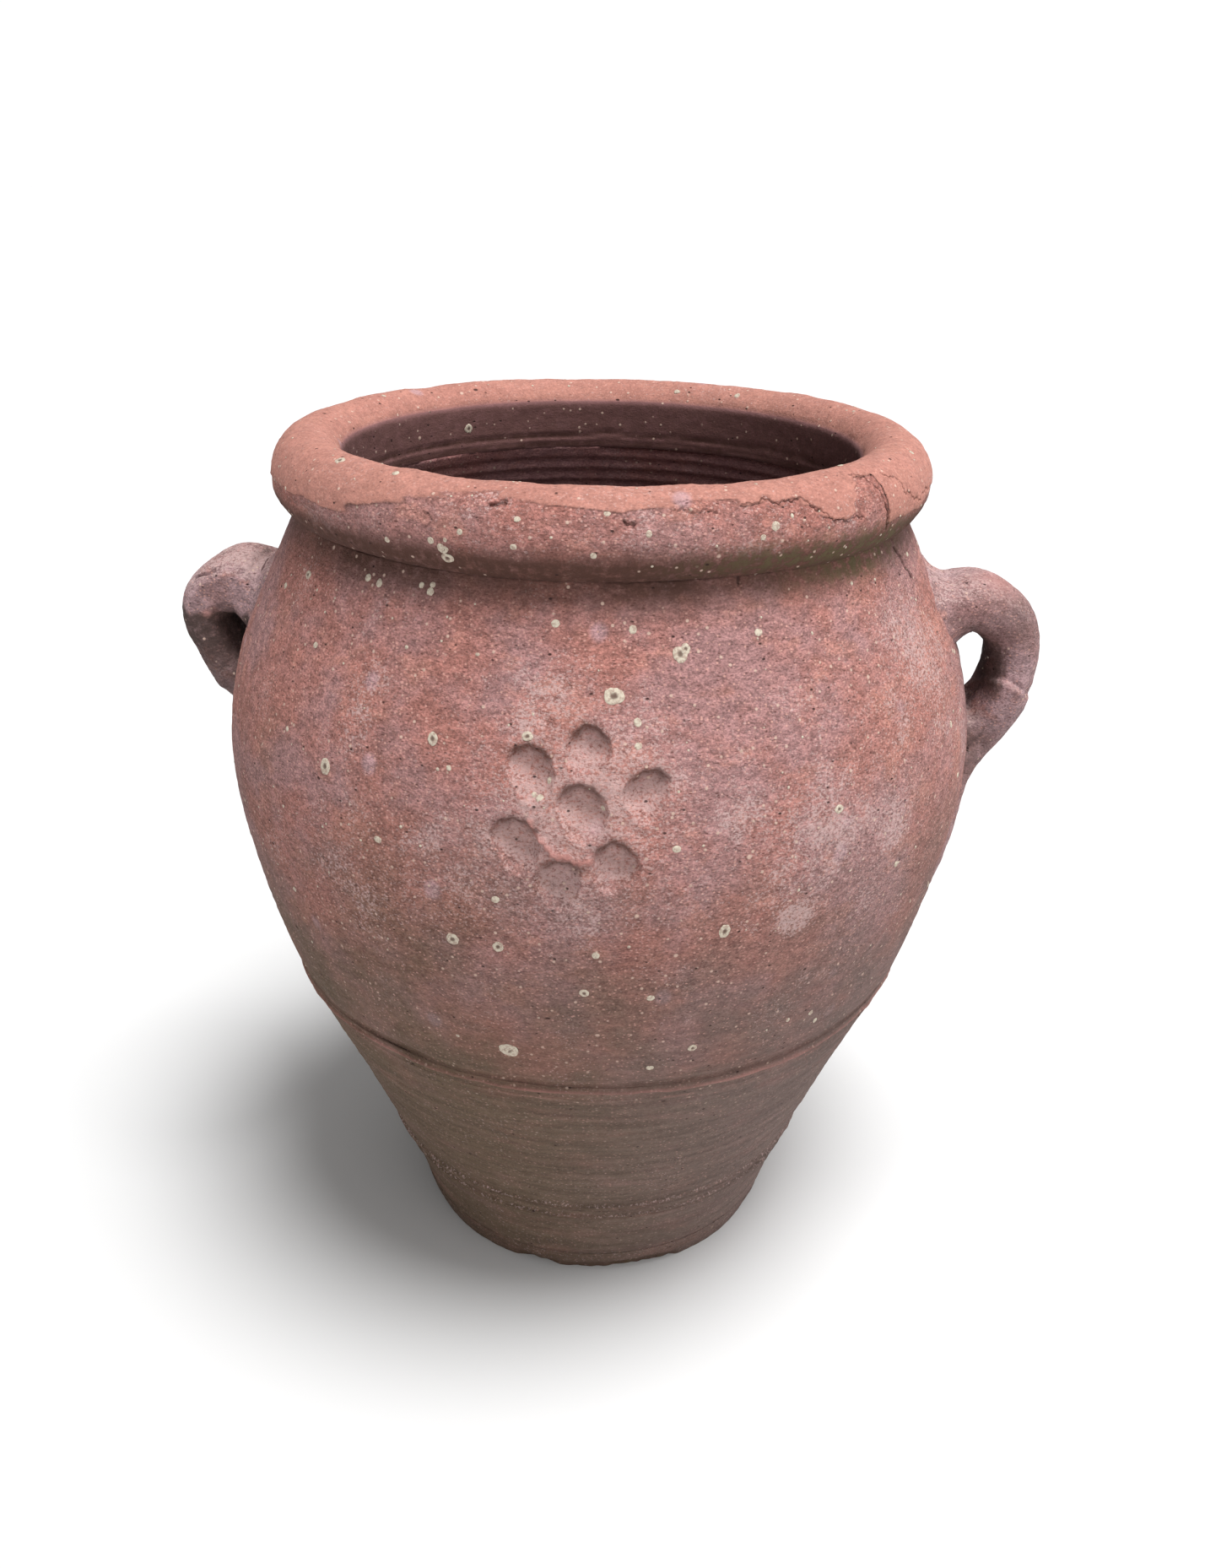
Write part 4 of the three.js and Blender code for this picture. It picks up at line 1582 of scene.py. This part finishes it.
@dataclass
class StrapHandle:
    """A strap handle luted on to the shoulder, and the wad that holds its lower end."""

    side: Side
    wall: JarWall
    finger_gap: float
    gap_height: float
    root_drop: float
    wad_width: float
    # Millimetres above the lip and proud of the wall, half width and lean to the side
    wad_profile: Sequence[tuple[float, float, float, float]]
    turn: float = -5.5
    crown: float = 428
    width: float = 54
    thickness: float = 28
    root_width: float = 76
    root_height: float = 49
    roundness: float = 2.5
    flare: float = 5
    flare_reach: float = 16
    bury: float = 8
    rings: int = 210
    sides: int = 168
    wad_rings: int = 150
    wad_sides: int = 200
    wad_sunk: float = 5.0
    weather: Sequence[Weather] = (Weather(34, 1.1, 1), Weather(11, 0.6, 2), Weather(4, 0.3, 2))
    # Depth below the lip, share of the half width, size and depth of the thumb's dent
    thumb: tuple[float, float, float, float] = (12, 0.86, 11, 4.5)
    # Height and reach of the arch under the lifted front edge, and its lift
    flap: tuple[float, float, float] = (0, 0, 0)
    # Corners in the jar's frame, width and depth of each crease
    creases: Sequence[tuple[Sequence[Sequence[float]], float, float]] = ()
    # Height below which the strap is darker, partly stain and partly painted shade, and height
    # above which its inner face gets painted shade
    stain_and_shade_below: float = 0
    inward_shade_above: float = 0
    # Place in the jar's frame, reach and strength of each dark and each rubbed spot
    grime: Sequence[tuple[float, float, float, float, float]] = ()
    bare: Sequence[tuple[float, float, float, float, float]] = ()

    @property
    def gap_top(self) -> float:
        """Height of the strap's underside over the fingers."""
        return self.crown - self.thickness * 0.7

    @property
    def lip(self) -> float:
        """Height of the wad's upper lip."""
        return self.gap_top - self.gap_height

    def stations(self) -> list[tuple[float, float, float, float]]:
        """Gives the strap's middle line with the clay's half width and half thickness.

        Returns:
            Radius, height, half width and half thickness of each station.
        """
        def wall(height: float) -> float:
            """Gives the wall's radius at one height."""
            return float(self.wall.radius(np.array([height]))[0])

        half = self.thickness / 2
        wide = self.width / 2
        widest = self.gap_top - (self.gap_top - self.lip) * 0.18
        outer = wall(widest) + self.finger_gap + half
        crown, drop, lip = self.crown, self.root_drop, self.lip
        arch = (wall(crown) + outer) / 2 - 3
        return [
            (wall(crown) - self.root_height / 2, crown - half / 2, self.root_width / 2,
             self.root_height / 2),
            (wall(crown) + 2, crown - half / 4 - drop * 0.7, self.root_width * 0.41,
             self.root_height * 0.37 + drop * 0.3),
            (arch, crown - drop / 2, wide * 1.06, half * 1.15 + drop * 0.4),
            (outer - half * 0.52, crown - half * 0.76, wide, half * 1.16),
            (outer - 1, widest, wide, half * 1.08),
            (outer - half * 0.42, lip + half * 0.75, wide, half),
            (wall(lip) + half * 0.6, lip - half * 0.6, wide, half),
            (wall(lip) - half, lip - half * 1.3, wide * 0.92, half * 0.92),
        ]

    def to_jar(self, reach: np.ndarray, aside: np.ndarray, height: np.ndarray) -> np.ndarray:
        """Turns places in the handle's own upright plane into places on the jar.

        Args:
            reach: Millimetres out from the jar's axis.
            aside: Millimetres towards the handle's left, seen from outside.
            height: Heights.

        Returns:
            Points in the jar's frame.
        """
        angle = math.radians(self.turn + (0 if self.side is Side.RIGHT else 180))
        return np.column_stack([
            reach * math.cos(angle) - aside * math.sin(angle),
            reach * math.sin(angle) + aside * math.cos(angle), height])

    def strap_points(self, share: np.ndarray, angle: np.ndarray) -> np.ndarray:
        """Gives points on the strap's skin.

        Args:
            share: Shares along the strap, from its root to its lower end.
            angle: Angles round it.

        Returns:
            Points in the jar's frame.
        """
        stations = self.stations()
        spine = SmoothLine([row[:2] for row in stations])
        sizes = SmoothLine([row[2:] for row in stations])
        step = 1e-3
        middle = spine.at(share)
        along = spine.at(share + step) - spine.at(share - step)
        along /= np.linalg.norm(along, axis=1)[:, None]
        wide, thick = sizes.at(share).T
        out, aside = squared(angle, self.roundness)
        lumpy = 1 + 0.035 * wander(angle, 61, slowest=1, waves=4) * np.sin(share * 9 + 1)
        reach = middle[:, 0] - along[:, 1] * out * thick * lumpy
        height = middle[:, 1] + along[:, 0] * out * thick * lumpy
        beside = -aside * wide * lumpy
        top, peak, lift = self.flap
        arch = top - ((reach - peak) / 5.5) ** 2
        front = smooth_step(-beside, wide * 0.35, wide * 0.8)
        beside = beside - lift * front * smooth_step(arch - height, -0.6, 1.0)
        return self.blend_in(middle, reach, beside, height, angle)

    def blend_in(self, middle: np.ndarray, reach: np.ndarray, beside: np.ndarray,
                 height: np.ndarray, angle: np.ndarray) -> np.ndarray:
        """Wipes the clay out on to the wall where it meets it, and buries the rest.

        Args:
            middle: The strap's middle line at each point.
            reach: Millimetres out from the axis.
            beside: Millimetres to the side.
            height: Heights.
            angle: Angles round the strap.

        Returns:
            Points in the jar's frame.
        """
        radius = np.hypot(reach, beside)
        off = radius - self.wall.radius(height)
        share = np.clip(1 - off / self.flare_reach, 0, 1.15)
        strokes = 1 + 0.22 * wander(angle, 62, slowest=3, waves=6)
        push = self.flare * share ** 3 * strokes
        away = np.column_stack([np.zeros_like(beside), beside, height - middle[:, 1]])
        away /= np.maximum(np.linalg.norm(away, axis=1), 1e-6)[:, None]
        beside = beside + push * away[:, 1]
        height = height + push * away[:, 2]
        radius = np.hypot(reach, beside)
        least = self.wall.radius(height) - self.bury
        scale = np.maximum(least / radius, 1)
        return self.to_jar(reach * scale, beside * scale, height)

    def wad_points(self, share: np.ndarray, angle: np.ndarray) -> np.ndarray:
        """Gives points on the wad's skin, wrapped round the wall.

        Args:
            share: Shares down the wad, from its lip to the end of its tail.
            angle: Angles round it.

        Returns:
            Points in the jar's frame.
        """
        line = SmoothLine([(self.lip + drop, proud, wide, lean)
                           for drop, proud, wide, lean in self.wad_profile])
        height, proud, wide, lean = line.at(share).T
        boxy = 2.4 + 2.2 * smooth_step(height, self.lip - 24, self.lip - 4)
        out, aside = squared(angle, boxy)
        rise = np.where(out > 0, (proud + self.wad_sunk) * out, self.wad_sunk * out)
        beside = -lean + wide * aside
        deep, place, size, dent = self.thumb
        front = -self.wad_width / 2 * place
        near = np.hypot(height - (self.lip - deep), (beside - front) * 0.8)
        rise = rise - dent * hump(near, 0, size * 0.62) * (rise > 8)
        beside = beside + dent * 0.9 * hump(near, 0, size * 0.8) * (rise > 4)
        radius = self.wall.radius(height)
        turn = beside / radius
        reach = radius - self.wad_sunk + rise
        return self.to_jar(reach * np.cos(turn), reach * np.sin(turn), height)

    def build(self, clay: bpy.types.Material) -> list[bpy.types.Object]:
        """Models the strap and its wad.

        Args:
            clay: Their material.

        Returns:
            The two finished pieces.
        """
        word = self.side.name.lower()
        strap = rolled_out(f"strap_{word}", self.rings, self.sides, self.strap_points)
        wad = rolled_out(f"wad_{word}", self.wad_rings, self.wad_sides, self.wad_points)
        for piece, node in ((strap, f"handle_{word}"), (wad, f"handle_wad_{word}")):
            for corners, width, depth in self.creases:
                points = points_of(piece)
                sunk = near_line(points, corners, width) * depth
                move_points(piece, points - normals_of(piece) * sunk[:, None])
            let_weather(piece, self.weather)
            self.dress(piece)
            finish(piece, clay, "handle_clay", node)
        return [strap, wad]

    def dress(self, piece: bpy.types.Object) -> None:
        """Keeps where bloom and soil lie on a piece of the handle, with painted highlight on its
        upper faces and painted shade on its inner faces, its undersides and, on the left, its lower
        part.

        Args:
            piece: The strap or the wad.
        """
        points = points_of(piece)
        normal = normals_of(piece)
        radius, azimuth, height = polar(points)
        outward = normal[:, 0] * np.sin(azimuth) - normal[:, 1] * np.cos(azimuth)
        # Bloom and painted highlight on the faces that look up
        bloom = smooth_step(normal[:, 2], 0.15, 0.85) * 0.7
        off = radius - self.wall.radius(height)
        # Painted shade, in the soil colour, on the faces that look in at the wall and on the
        # undersides
        inward_shade = smooth_step(outward, -0.1, -0.7) * smooth_step(off, 2, 8)
        inward_shade *= smooth_step(height, self.inward_shade_above - 8, self.inward_shade_above + 6)
        under = smooth_step(normal[:, 2], -0.15, -0.75)
        soil = 0.9 * np.maximum(inward_shade, under * 0.7)
        # Darker below a wavy line, partly stain and partly painted shade, and a little less dark
        # near the wad's lip
        line = self.stain_and_shade_below + 1.6 * np.sin(points[:, 1] * 0.35) + np.sin(radius * 0.6)
        stain_and_shade = smooth_step(height, line + 2.5, line - 2.5)
        lighter_near_lip = smooth_step(height, self.lip + 16, self.lip - 8)
        soil = np.maximum(soil, (0.95 - 0.22 * lighter_near_lip) * stain_and_shade)
        for *spot, reach, strength in self.grime:
            soil = np.maximum(soil, strength * near_spot(points, spot, reach))
        rubbed = np.zeros_like(height)
        for *spot, reach, strength in self.bare:
            rubbed += strength * near_spot(points, spot, reach)
        creased = np.zeros_like(height)
        # Raised creases are rubbed paler, partly wear and partly painted highlight
        for corners, width, depth in self.creases:
            share = near_line(points, corners, width)
            creased = np.maximum(creased, share * (depth > 0))
            rubbed = np.maximum(rubbed, 0.25 * share * (depth < 0))
        keep(piece, bloom=bloom * (1 - rubbed) * (1 - stain_and_shade), soil=soil, rubbed=rubbed,
             crack=0.6 * creased)


# Lime spots


@dataclass
class LimeSpots:
    """Rings and dots of lime and lichen that have grown on the jar."""

    wall: JarWall
    rim: RolledRim
    # Azimuth in degrees, height and width of each spot
    on_wall: Sequence[tuple[float, float, float]] = (
        (1.9, 434, 9), (-22.1, 410, 6), (-38.7, 384, 8), (11.4, 451, 8), (12.2, 453, 5),
        (32.5, 371, 5), (16.3, 317, 7), (-19, 308, 7), (-12.8, 308, 6), (-7.3, 389, 4),
        (-8.1, 390, 3), (-9.3, 416, 5), (5, 423, 4), (5, 413, 3.5), (9.6, 365, 4),
        (-12.8, 336, 4), (-29.1, 356, 4), (-1.7, 282, 5), (-12.6, 234, 8), (4.7, 462, 4),
        (-6.6, 464, 4), (23.7, 457, 4), (-0.2, 307, 4), (7.2, 278, 4), (8.1, 224, 4),
        (-37, 471, 4), (-27, 472, 4), (-28.8, 474, 3), (-26.8, 475, 3), (-55.6, 463, 5),
        (-39.6, 472, 4), (-13, 235, 10), (14.2, 237, 5))
    # Azimuth and roll in degrees, and width of each spot
    on_rim: Sequence[tuple[float, float, float]] = (
        (-23.4, -17, 5), (-23.7, -15, 4), (-23, -30, 6), (-25.2, -7, 3.5), (-49, 75, 6),
        (161, 127, 4), (145, 123, 4), (-143, -171, 6), (25.8, 15, 4.5), (-20.5, 8, 3),
        (-33, -15, 3), (-12, 29, 3), (-12.4, -4, 3), (-1.1, -11, 3), (23.8, 3, 3))
    specks: int = 430
    rim_share: float = 0.2
    rim_rolls: tuple[float, float] = (-35, 120)
    highest: float = 470
    reach_down: float = 250
    fine_below: float = 2.6
    ringed_above: float = 4.5
    seed: int = 11

    def spots(self) -> list[tuple[Vector, Vector, float]]:
        """Lists every spot.

        Returns:
            A point near the surface, the outward direction and the spot's width in millimetres.
        """
        found = []
        for azimuth, height, width in self.on_wall:
            found.append(self.wall_spot(azimuth, height, width))
        for azimuth, roll, width in self.on_rim:
            point, out = self.rim.place(azimuth, roll)
            found.append((point, out, width))
        chance = np.random.default_rng(self.seed)
        for _ in range(self.specks):
            azimuth = float(chance.uniform(-180, 180))
            width = float(chance.uniform(0.8, 1.6) + 2.4 * chance.random() ** 5)
            if chance.random() < self.rim_share:
                point, out = self.rim.place(azimuth, float(chance.uniform(*self.rim_rolls)))
                found.append((point, out, width))
            else:
                height = float(self.highest - self.reach_down * chance.random() ** 1.3)
                found.append(self.wall_spot(azimuth, height, width))
        return found

    def wall_spot(self, azimuth: float, height: float, width: float
                  ) -> tuple[Vector, Vector, float]:
        """Gives one spot on the wall.

        Args:
            azimuth: Degrees from the front towards +X.
            height: Height in millimetres.
            width: The spot's width in millimetres.

        Returns:
            Its place in metres, the outward direction and its width.
        """
        slope = float(self.wall.slope(np.array([height]))[0])
        out = from_axis(azimuth, 1, -slope).normalized()
        return self.wall.place(azimuth, height), out, width

    def build(self, clays: Sequence[bpy.types.Object], crust: bpy.types.Material
              ) -> bpy.types.Object:
        """Grows every spot on the finished surface.

        Args:
            clays: The pieces that carry spots.
            crust: The spots' material.

        Returns:
            One piece that holds them all.
        """
        graph = bpy.context.evaluated_depsgraph_get()
        trees = [BVHTree.FromObject(piece, graph) for piece in clays]
        chance = np.random.default_rng(self.seed + 1)
        grown = []
        for point, out, width in self.spots():
            hit = nearest_hit(trees, point + out * 0.02, -out)
            if hit is None:
                continue
            spot, normal = hit
            segments, rings = (20, 12) if width > self.fine_below else (8, 4)
            bpy.ops.object.select_all(action="DESELECT")
            bpy.ops.mesh.primitive_uv_sphere_add(segments=segments, ring_count=rings, radius=1)
            crumb = bpy.context.object
            self.shape(crumb, spot, normal.lerp(out, 0.5).normalized(), width, chance)
            grown.append(crumb)
        bpy.ops.object.select_all(action="DESELECT")
        for crumb in grown:
            crumb.select_set(True)
        bpy.context.view_layer.objects.active = grown[0]
        bpy.ops.object.join()
        piece = bpy.context.object
        piece.name = "lime_spots"
        finish(piece, crust, "body_clay")
        return piece

    def shape(self, crumb: bpy.types.Object, spot: Vector, out: Vector, width: float,
              chance: np.random.Generator) -> None:
        """Flattens a ball into a crust with a raised edge and lays it on the clay.

        Args:
            crumb: The ball.
            spot: Where it grows, in metres.
            out: The way out of the clay.
            width: Its width in millimetres.
            chance: The seeded chance.
        """
        ball = points_of(crumb) * MM
        radial = np.hypot(ball[:, 0], ball[:, 1])
        angle = np.arctan2(ball[:, 1], ball[:, 0])
        uneven = 1 + 0.09 * wander(angle, int(chance.integers(1000)), slowest=1, waves=4)
        stretch = float(chance.uniform(0.88, 1.12))
        ringed = width > self.ringed_above
        thick = 0.22 + 0.05 * width
        lift = ball[:, 2] * thick
        if ringed:
            lift = lift * (0.35 + 0.65 * smooth_step(radial, 0.2, 0.6))
        flat = np.column_stack([ball[:, 0] * uneven * stretch * width / 2,
                                ball[:, 1] * uneven / stretch * width / 2, lift])
        tilt = out.to_track_quat("Z", "Y").to_matrix()
        placed = flat @ np.array(tilt).T + np.array(spot) / MM
        move_points(crumb, placed)
        core = smooth_step(radial, 0.45, 0.2) if ringed else 0 * radial
        mark(crumb, "core", core * 0.9 * (ball[:, 2] > 0))


def nearest_hit(trees: Sequence[BVHTree], start: Vector, way: Vector, reach: float = 0.06
                ) -> Optional[tuple[Vector, Vector]]:
    """Finds where a straight line first meets the clay.

    Args:
        trees: The pieces' surfaces.
        start: Where the line starts.
        way: Where it goes.
        reach: How far it goes, in metres.

    Returns:
        The point and the surface's normal there, or None.
    """
    best = None
    for tree in trees:
        point, normal, _, distance = tree.ray_cast(start, way, reach)
        if point is not None and (best is None or distance < best[2]):
            best = (point, normal, distance)
    return None if best is None else best[:2]


def finish(piece: bpy.types.Object, clay: bpy.types.Material, slot: str, *nodes: str) -> None:
    """Smooths a piece, dresses it and ties it to the jar.

    Args:
        piece: The piece.
        clay: Its material.
        slot: The name of the material slot that it stands for, which is only written to the log.
        nodes: The solids that it stands in for.
    """
    only(piece)
    bpy.ops.object.shade_smooth()
    piece.data.materials.clear()
    piece.data.materials.append(clay)
    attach(piece, "root")
    if nodes:
        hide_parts(*nodes)
    LOG.info("%s: %d faces, slot %s", piece.name, len(piece.data.polygons), slot)


# Surroundings


class SkySketch:
    """Draws a sky's nodes in a few words."""

    def __init__(self, name: str) -> None:
        """Starts a world and splits the way that each part of its sky lies.

        Args:
            name: The world's name.
        """
        self.world = bpy.data.worlds.new(name)
        self.world.use_nodes = True
        self.tree = self.world.node_tree
        place = self.tree.nodes.new("ShaderNodeTexCoord").outputs["Generated"]
        split = self.tree.nodes.new("ShaderNodeSeparateXYZ")
        self.tree.links.new(place, split.inputs[0])
        self.way = split.outputs

    def sum(self, operation: str, *values: object) -> bpy.types.NodeSocket:
        """Does one sum.

        Args:
            operation: The sum, as Blender names it.
            values: Sockets and numbers.

        Returns:
            The result.
        """
        node = self.tree.nodes.new("ShaderNodeMath")
        node.operation = operation
        for socket, value in zip(node.inputs, values):
            if isinstance(value, float):
                socket.default_value = value
            else:
                self.tree.links.new(value, socket)
        return node.outputs[0]

    def step(self, band: tuple[float, float], least: float, most: float) -> bpy.types.NodeSocket:
        """Changes evenly between two heights of the sky.

        Args:
            band: The two heights, 0 at the horizon and 1 overhead.
            least: Result at the first.
            most: Result at the second.

        Returns:
            The level at each height.
        """
        node = self.tree.nodes.new("ShaderNodeMapRange")
        self.tree.links.new(self.way["Z"], node.inputs["Value"])
        for name, value in zip(("From Min", "From Max", "To Min", "To Max"), (*band, least, most)):
            node.inputs[name].default_value = value
        return node.outputs["Result"]


@dataclass
class Studio:
    """Pale ground, soft light and the camera at the photograph's place."""

    camera_back: float = 772.7
    camera_height: float = 660.4
    look_down: float = 24.309
    swing: float = 0.794
    roll: float = 0.896
    focal_px: float = 1572.65
    frame_height_px: float = 1858
    centre_px: float = 902.51
    haze: float = 1.03
    haze_band: tuple[float, float] = (0.11, 0.16)
    dusk: float = 0.2
    dusk_band: tuple[float, float] = (0.16, 0.34)
    sky: float = 0.8
    zenith: float = 0.1
    zenith_band: tuple[float, float] = (0.6, 0.95)
    from_right: float = 1.0
    from_front: float = 0.5
    sun_strength: float = 3.7
    sun_height: float = 77
    sun_azimuth: float = 52
    sun_softness: float = 26
    floor_colour: Colour = clay_colour(214, 214, 214)

    def place_camera(self) -> None:
        """Sets the camera where the photograph was taken."""
        data = bpy.data.cameras.new("camera")
        camera = bpy.data.objects.new("camera", data)
        bpy.context.scene.collection.objects.link(camera)
        data.sensor_width = 36
        data.lens = self.focal_px * data.sensor_width / self.frame_height_px
        data.shift_y = (self.centre_px - self.frame_height_px / 2) / self.frame_height_px
        data.clip_start = 0.01
        down = math.radians(self.look_down)
        swing, roll = math.radians(self.swing), math.radians(self.roll)
        level = Vector((math.cos(swing), -math.sin(swing), 0))
        ahead = Vector((math.sin(swing) * math.cos(down), math.cos(swing) * math.cos(down),
                        -math.sin(down)))
        above = Vector((math.sin(swing) * math.sin(down), math.cos(swing) * math.sin(down),
                        math.cos(down)))
        right = math.cos(roll) * level + math.sin(roll) * above
        up = math.cos(roll) * above - math.sin(roll) * level
        turn = Matrix((right, up, -ahead)).transposed()
        spot = Vector((0, -self.camera_back, self.camera_height)) * MM
        camera.matrix_world = Matrix.Translation(spot) @ turn.to_4x4()
        bpy.context.scene.camera = camera

    def spread_sky(self) -> None:
        """Spreads a sky that is white at the horizon, dim overhead and brighter on the right."""
        draw = SkySketch("sky")
        level = draw.step(self.zenith_band, self.sky, self.zenith)
        level = draw.sum("MULTIPLY", level, draw.step(self.dusk_band, self.dusk, 1.0))
        lean = draw.sum("MULTIPLY_ADD", draw.way["X"], self.from_right, 1.0)
        lean = draw.sum("MULTIPLY_ADD", draw.way["Y"], -self.from_front, lean)
        haze = draw.step(self.haze_band, self.haze, 0.0)
        strength = draw.sum("MAXIMUM", draw.sum("MULTIPLY", level, lean), haze)
        background = draw.tree.nodes["Background"]
        draw.tree.links.new(strength, background.inputs["Strength"])
        background.inputs["Color"].default_value = (1, 1, 1, 1)
        bpy.context.scene.world = draw.world
        bpy.context.scene.view_settings.view_transform = "Standard"

    def hang_lamp(self) -> None:
        """Hangs one soft lamp high on the right."""
        lamp = bpy.data.lights.new("soft sun", "SUN")
        lamp.energy = self.sun_strength
        lamp.angle = math.radians(self.sun_softness)
        hung = bpy.data.objects.new("soft sun", lamp)
        high, round_from_front = math.radians(self.sun_height), math.radians(self.sun_azimuth)
        way = Vector((math.cos(high) * math.sin(round_from_front),
                      -math.cos(high) * math.cos(round_from_front), math.sin(high)))
        hung.rotation_euler = way.to_track_quat("Z", "Y").to_euler()
        bpy.context.scene.collection.objects.link(hung)

    def lay_floor(self) -> None:
        """Lays the pale ground."""
        bpy.ops.object.select_all(action="DESELECT")
        bpy.ops.mesh.primitive_plane_add(size=60, location=(0, 0, 0))
        floor = bpy.context.object
        floor.name = "ground"
        draw = Sketch("pale ground")
        draw.coat(self.floor_colour, 0.9, 0.1)
        floor.data.materials.append(draw.material)


# The jar's own sizes


WALL = JarWall()
RIGHT_WAD = (
    (1, 8, 24, 0), (0, 17, 29, 0), (-2, 22, 32, 0), (-5, 25, 34, 0), (-10, 24.5, 36, 0.5),
    (-15, 21, 37.5, 1), (-21, 15.5, 39, 3), (-29, 9.5, 39, 6), (-38, 5.6, 38, 13), (-50, 4, 35, 24),
    (-66, 3.2, 32, 33), (-84, 2, 26, 40), (-98, 0.8, 17, 46), (-104, -1.5, 10, 48))
RIGHT_CREASES = (
    (((226, -13, 369), (228, -26, 378), (231, -38, 384), (235, -49, 386), (239, -53, 385),
      (242, -53, 383)), 5, -0.9),
    (((229, -50, 441), (236, -51, 436), (240, -52, 428)), 1.6, 0.9))
RIGHT_GRIME = ((242, -44, 424, 22, 0.5), (240, -52, 366, 22, 0.2), (213, -62, 350, 24, 0.8))
LEFT_WAD = (
    (1, 4, 18, 0), (0, 11, 23, 0), (-2, 15, 26, 0), (-5, 19, 28, 0), (-10, 20, 29, 0.5),
    (-15, 18.5, 30, 1), (-21, 13.5, 31, 3), (-29, 6, 32, 6), (-38, 3.6, 33, 13), (-50, 3, 33, 24),
    (-66, 3, 31, 33), (-84, 2, 26, 40), (-96, 0.8, 17, 46), (-102, -1.5, 10, 48))
LEFT_CREASES = (
    (((-246, 5, 427), (-243, 4, 429), (-236, 0, 432), (-231, 0, 434)), 1.5, 1.0),
    (((-229, -12, 409), (-243, -8, 407)), 2.4, 1.0))


def thrown_stages(clay: bpy.types.Material) -> list[bpy.types.Object]:
    """Throws the wall's three stages, from the foot up.

    Args:
        clay: Their material.

    Returns:
        The three finished pieces.
    """
    foot = ThrownStage(
        "foot_ring", "foot_wall", "foot_clay", WALL, WALL.floor + 0.3, WALL.foot_join, 16,
        WALL.scarf, steps=560, inner_rows=14, floor_cove=16)
    lower = ThrownStage(
        "lower_body", "lower_wall", "foot_clay", WALL, WALL.foot_join, WALL.belly_join,
        WALL.scarf, WALL.scarf, steps=620)
    upper = ThrownStage(
        "belly_and_shoulder", "upper_wall", "body_clay", WALL, WALL.belly_join, WALL.neck,
        WALL.scarf, 0, steps=460, row=3, inner_rows=14, ring_rows=42,
        close_marks=((-19, 16, 325, 447), (57, 67, 455, 481), (19, 24, 470, 481)))
    return [stage.build(clay) for stage in (foot, lower, upper)]


def pulled_handles(clay: bpy.types.Material) -> list[bpy.types.Object]:
    """Pulls both strap handles and presses on their wads, the right one first.

    Args:
        clay: Their material.

    Returns:
        The four finished pieces.
    """
    right = StrapHandle(
        Side.RIGHT, WALL, finger_gap=20, gap_height=46, root_drop=0, wad_width=80,
        wad_profile=RIGHT_WAD, flap=(387, 238, 5), inward_shade_above=378, creases=RIGHT_CREASES,
        grime=RIGHT_GRIME, bare=((231, -30, 440, 14, 0.55),))
    left = StrapHandle(
        Side.LEFT, WALL, finger_gap=17.5, gap_height=31, root_drop=9, wad_width=62,
        wad_profile=LEFT_WAD, stain_and_shade_below=409, creases=LEFT_CREASES)
    return right.build(clay) + left.build(clay)


def main() -> None:
    """Builds the jar from the ground up, then its lime spots and surroundings."""
    logging.basicConfig(level=logging.INFO, format="%(name)s: %(message)s")
    studio = Studio()
    studio.place_camera()
    studio.spread_sky()
    studio.hang_lamp()
    studio.lay_floor()
    jar_clay = BODY_CLAY.build()
    rim_clay = RIM_CLAY.build()
    handle_clay = HANDLE_CLAY.build()
    rim = RolledRim(WALL)
    clays = [FootSlab(WALL).build(jar_clay), *thrown_stages(jar_clay), rim.build(rim_clay),
             *pulled_handles(handle_clay)]
    LimeSpots(WALL, rim).build(clays, LimeCrust().build())


if __name__ == "__main__":
    main()
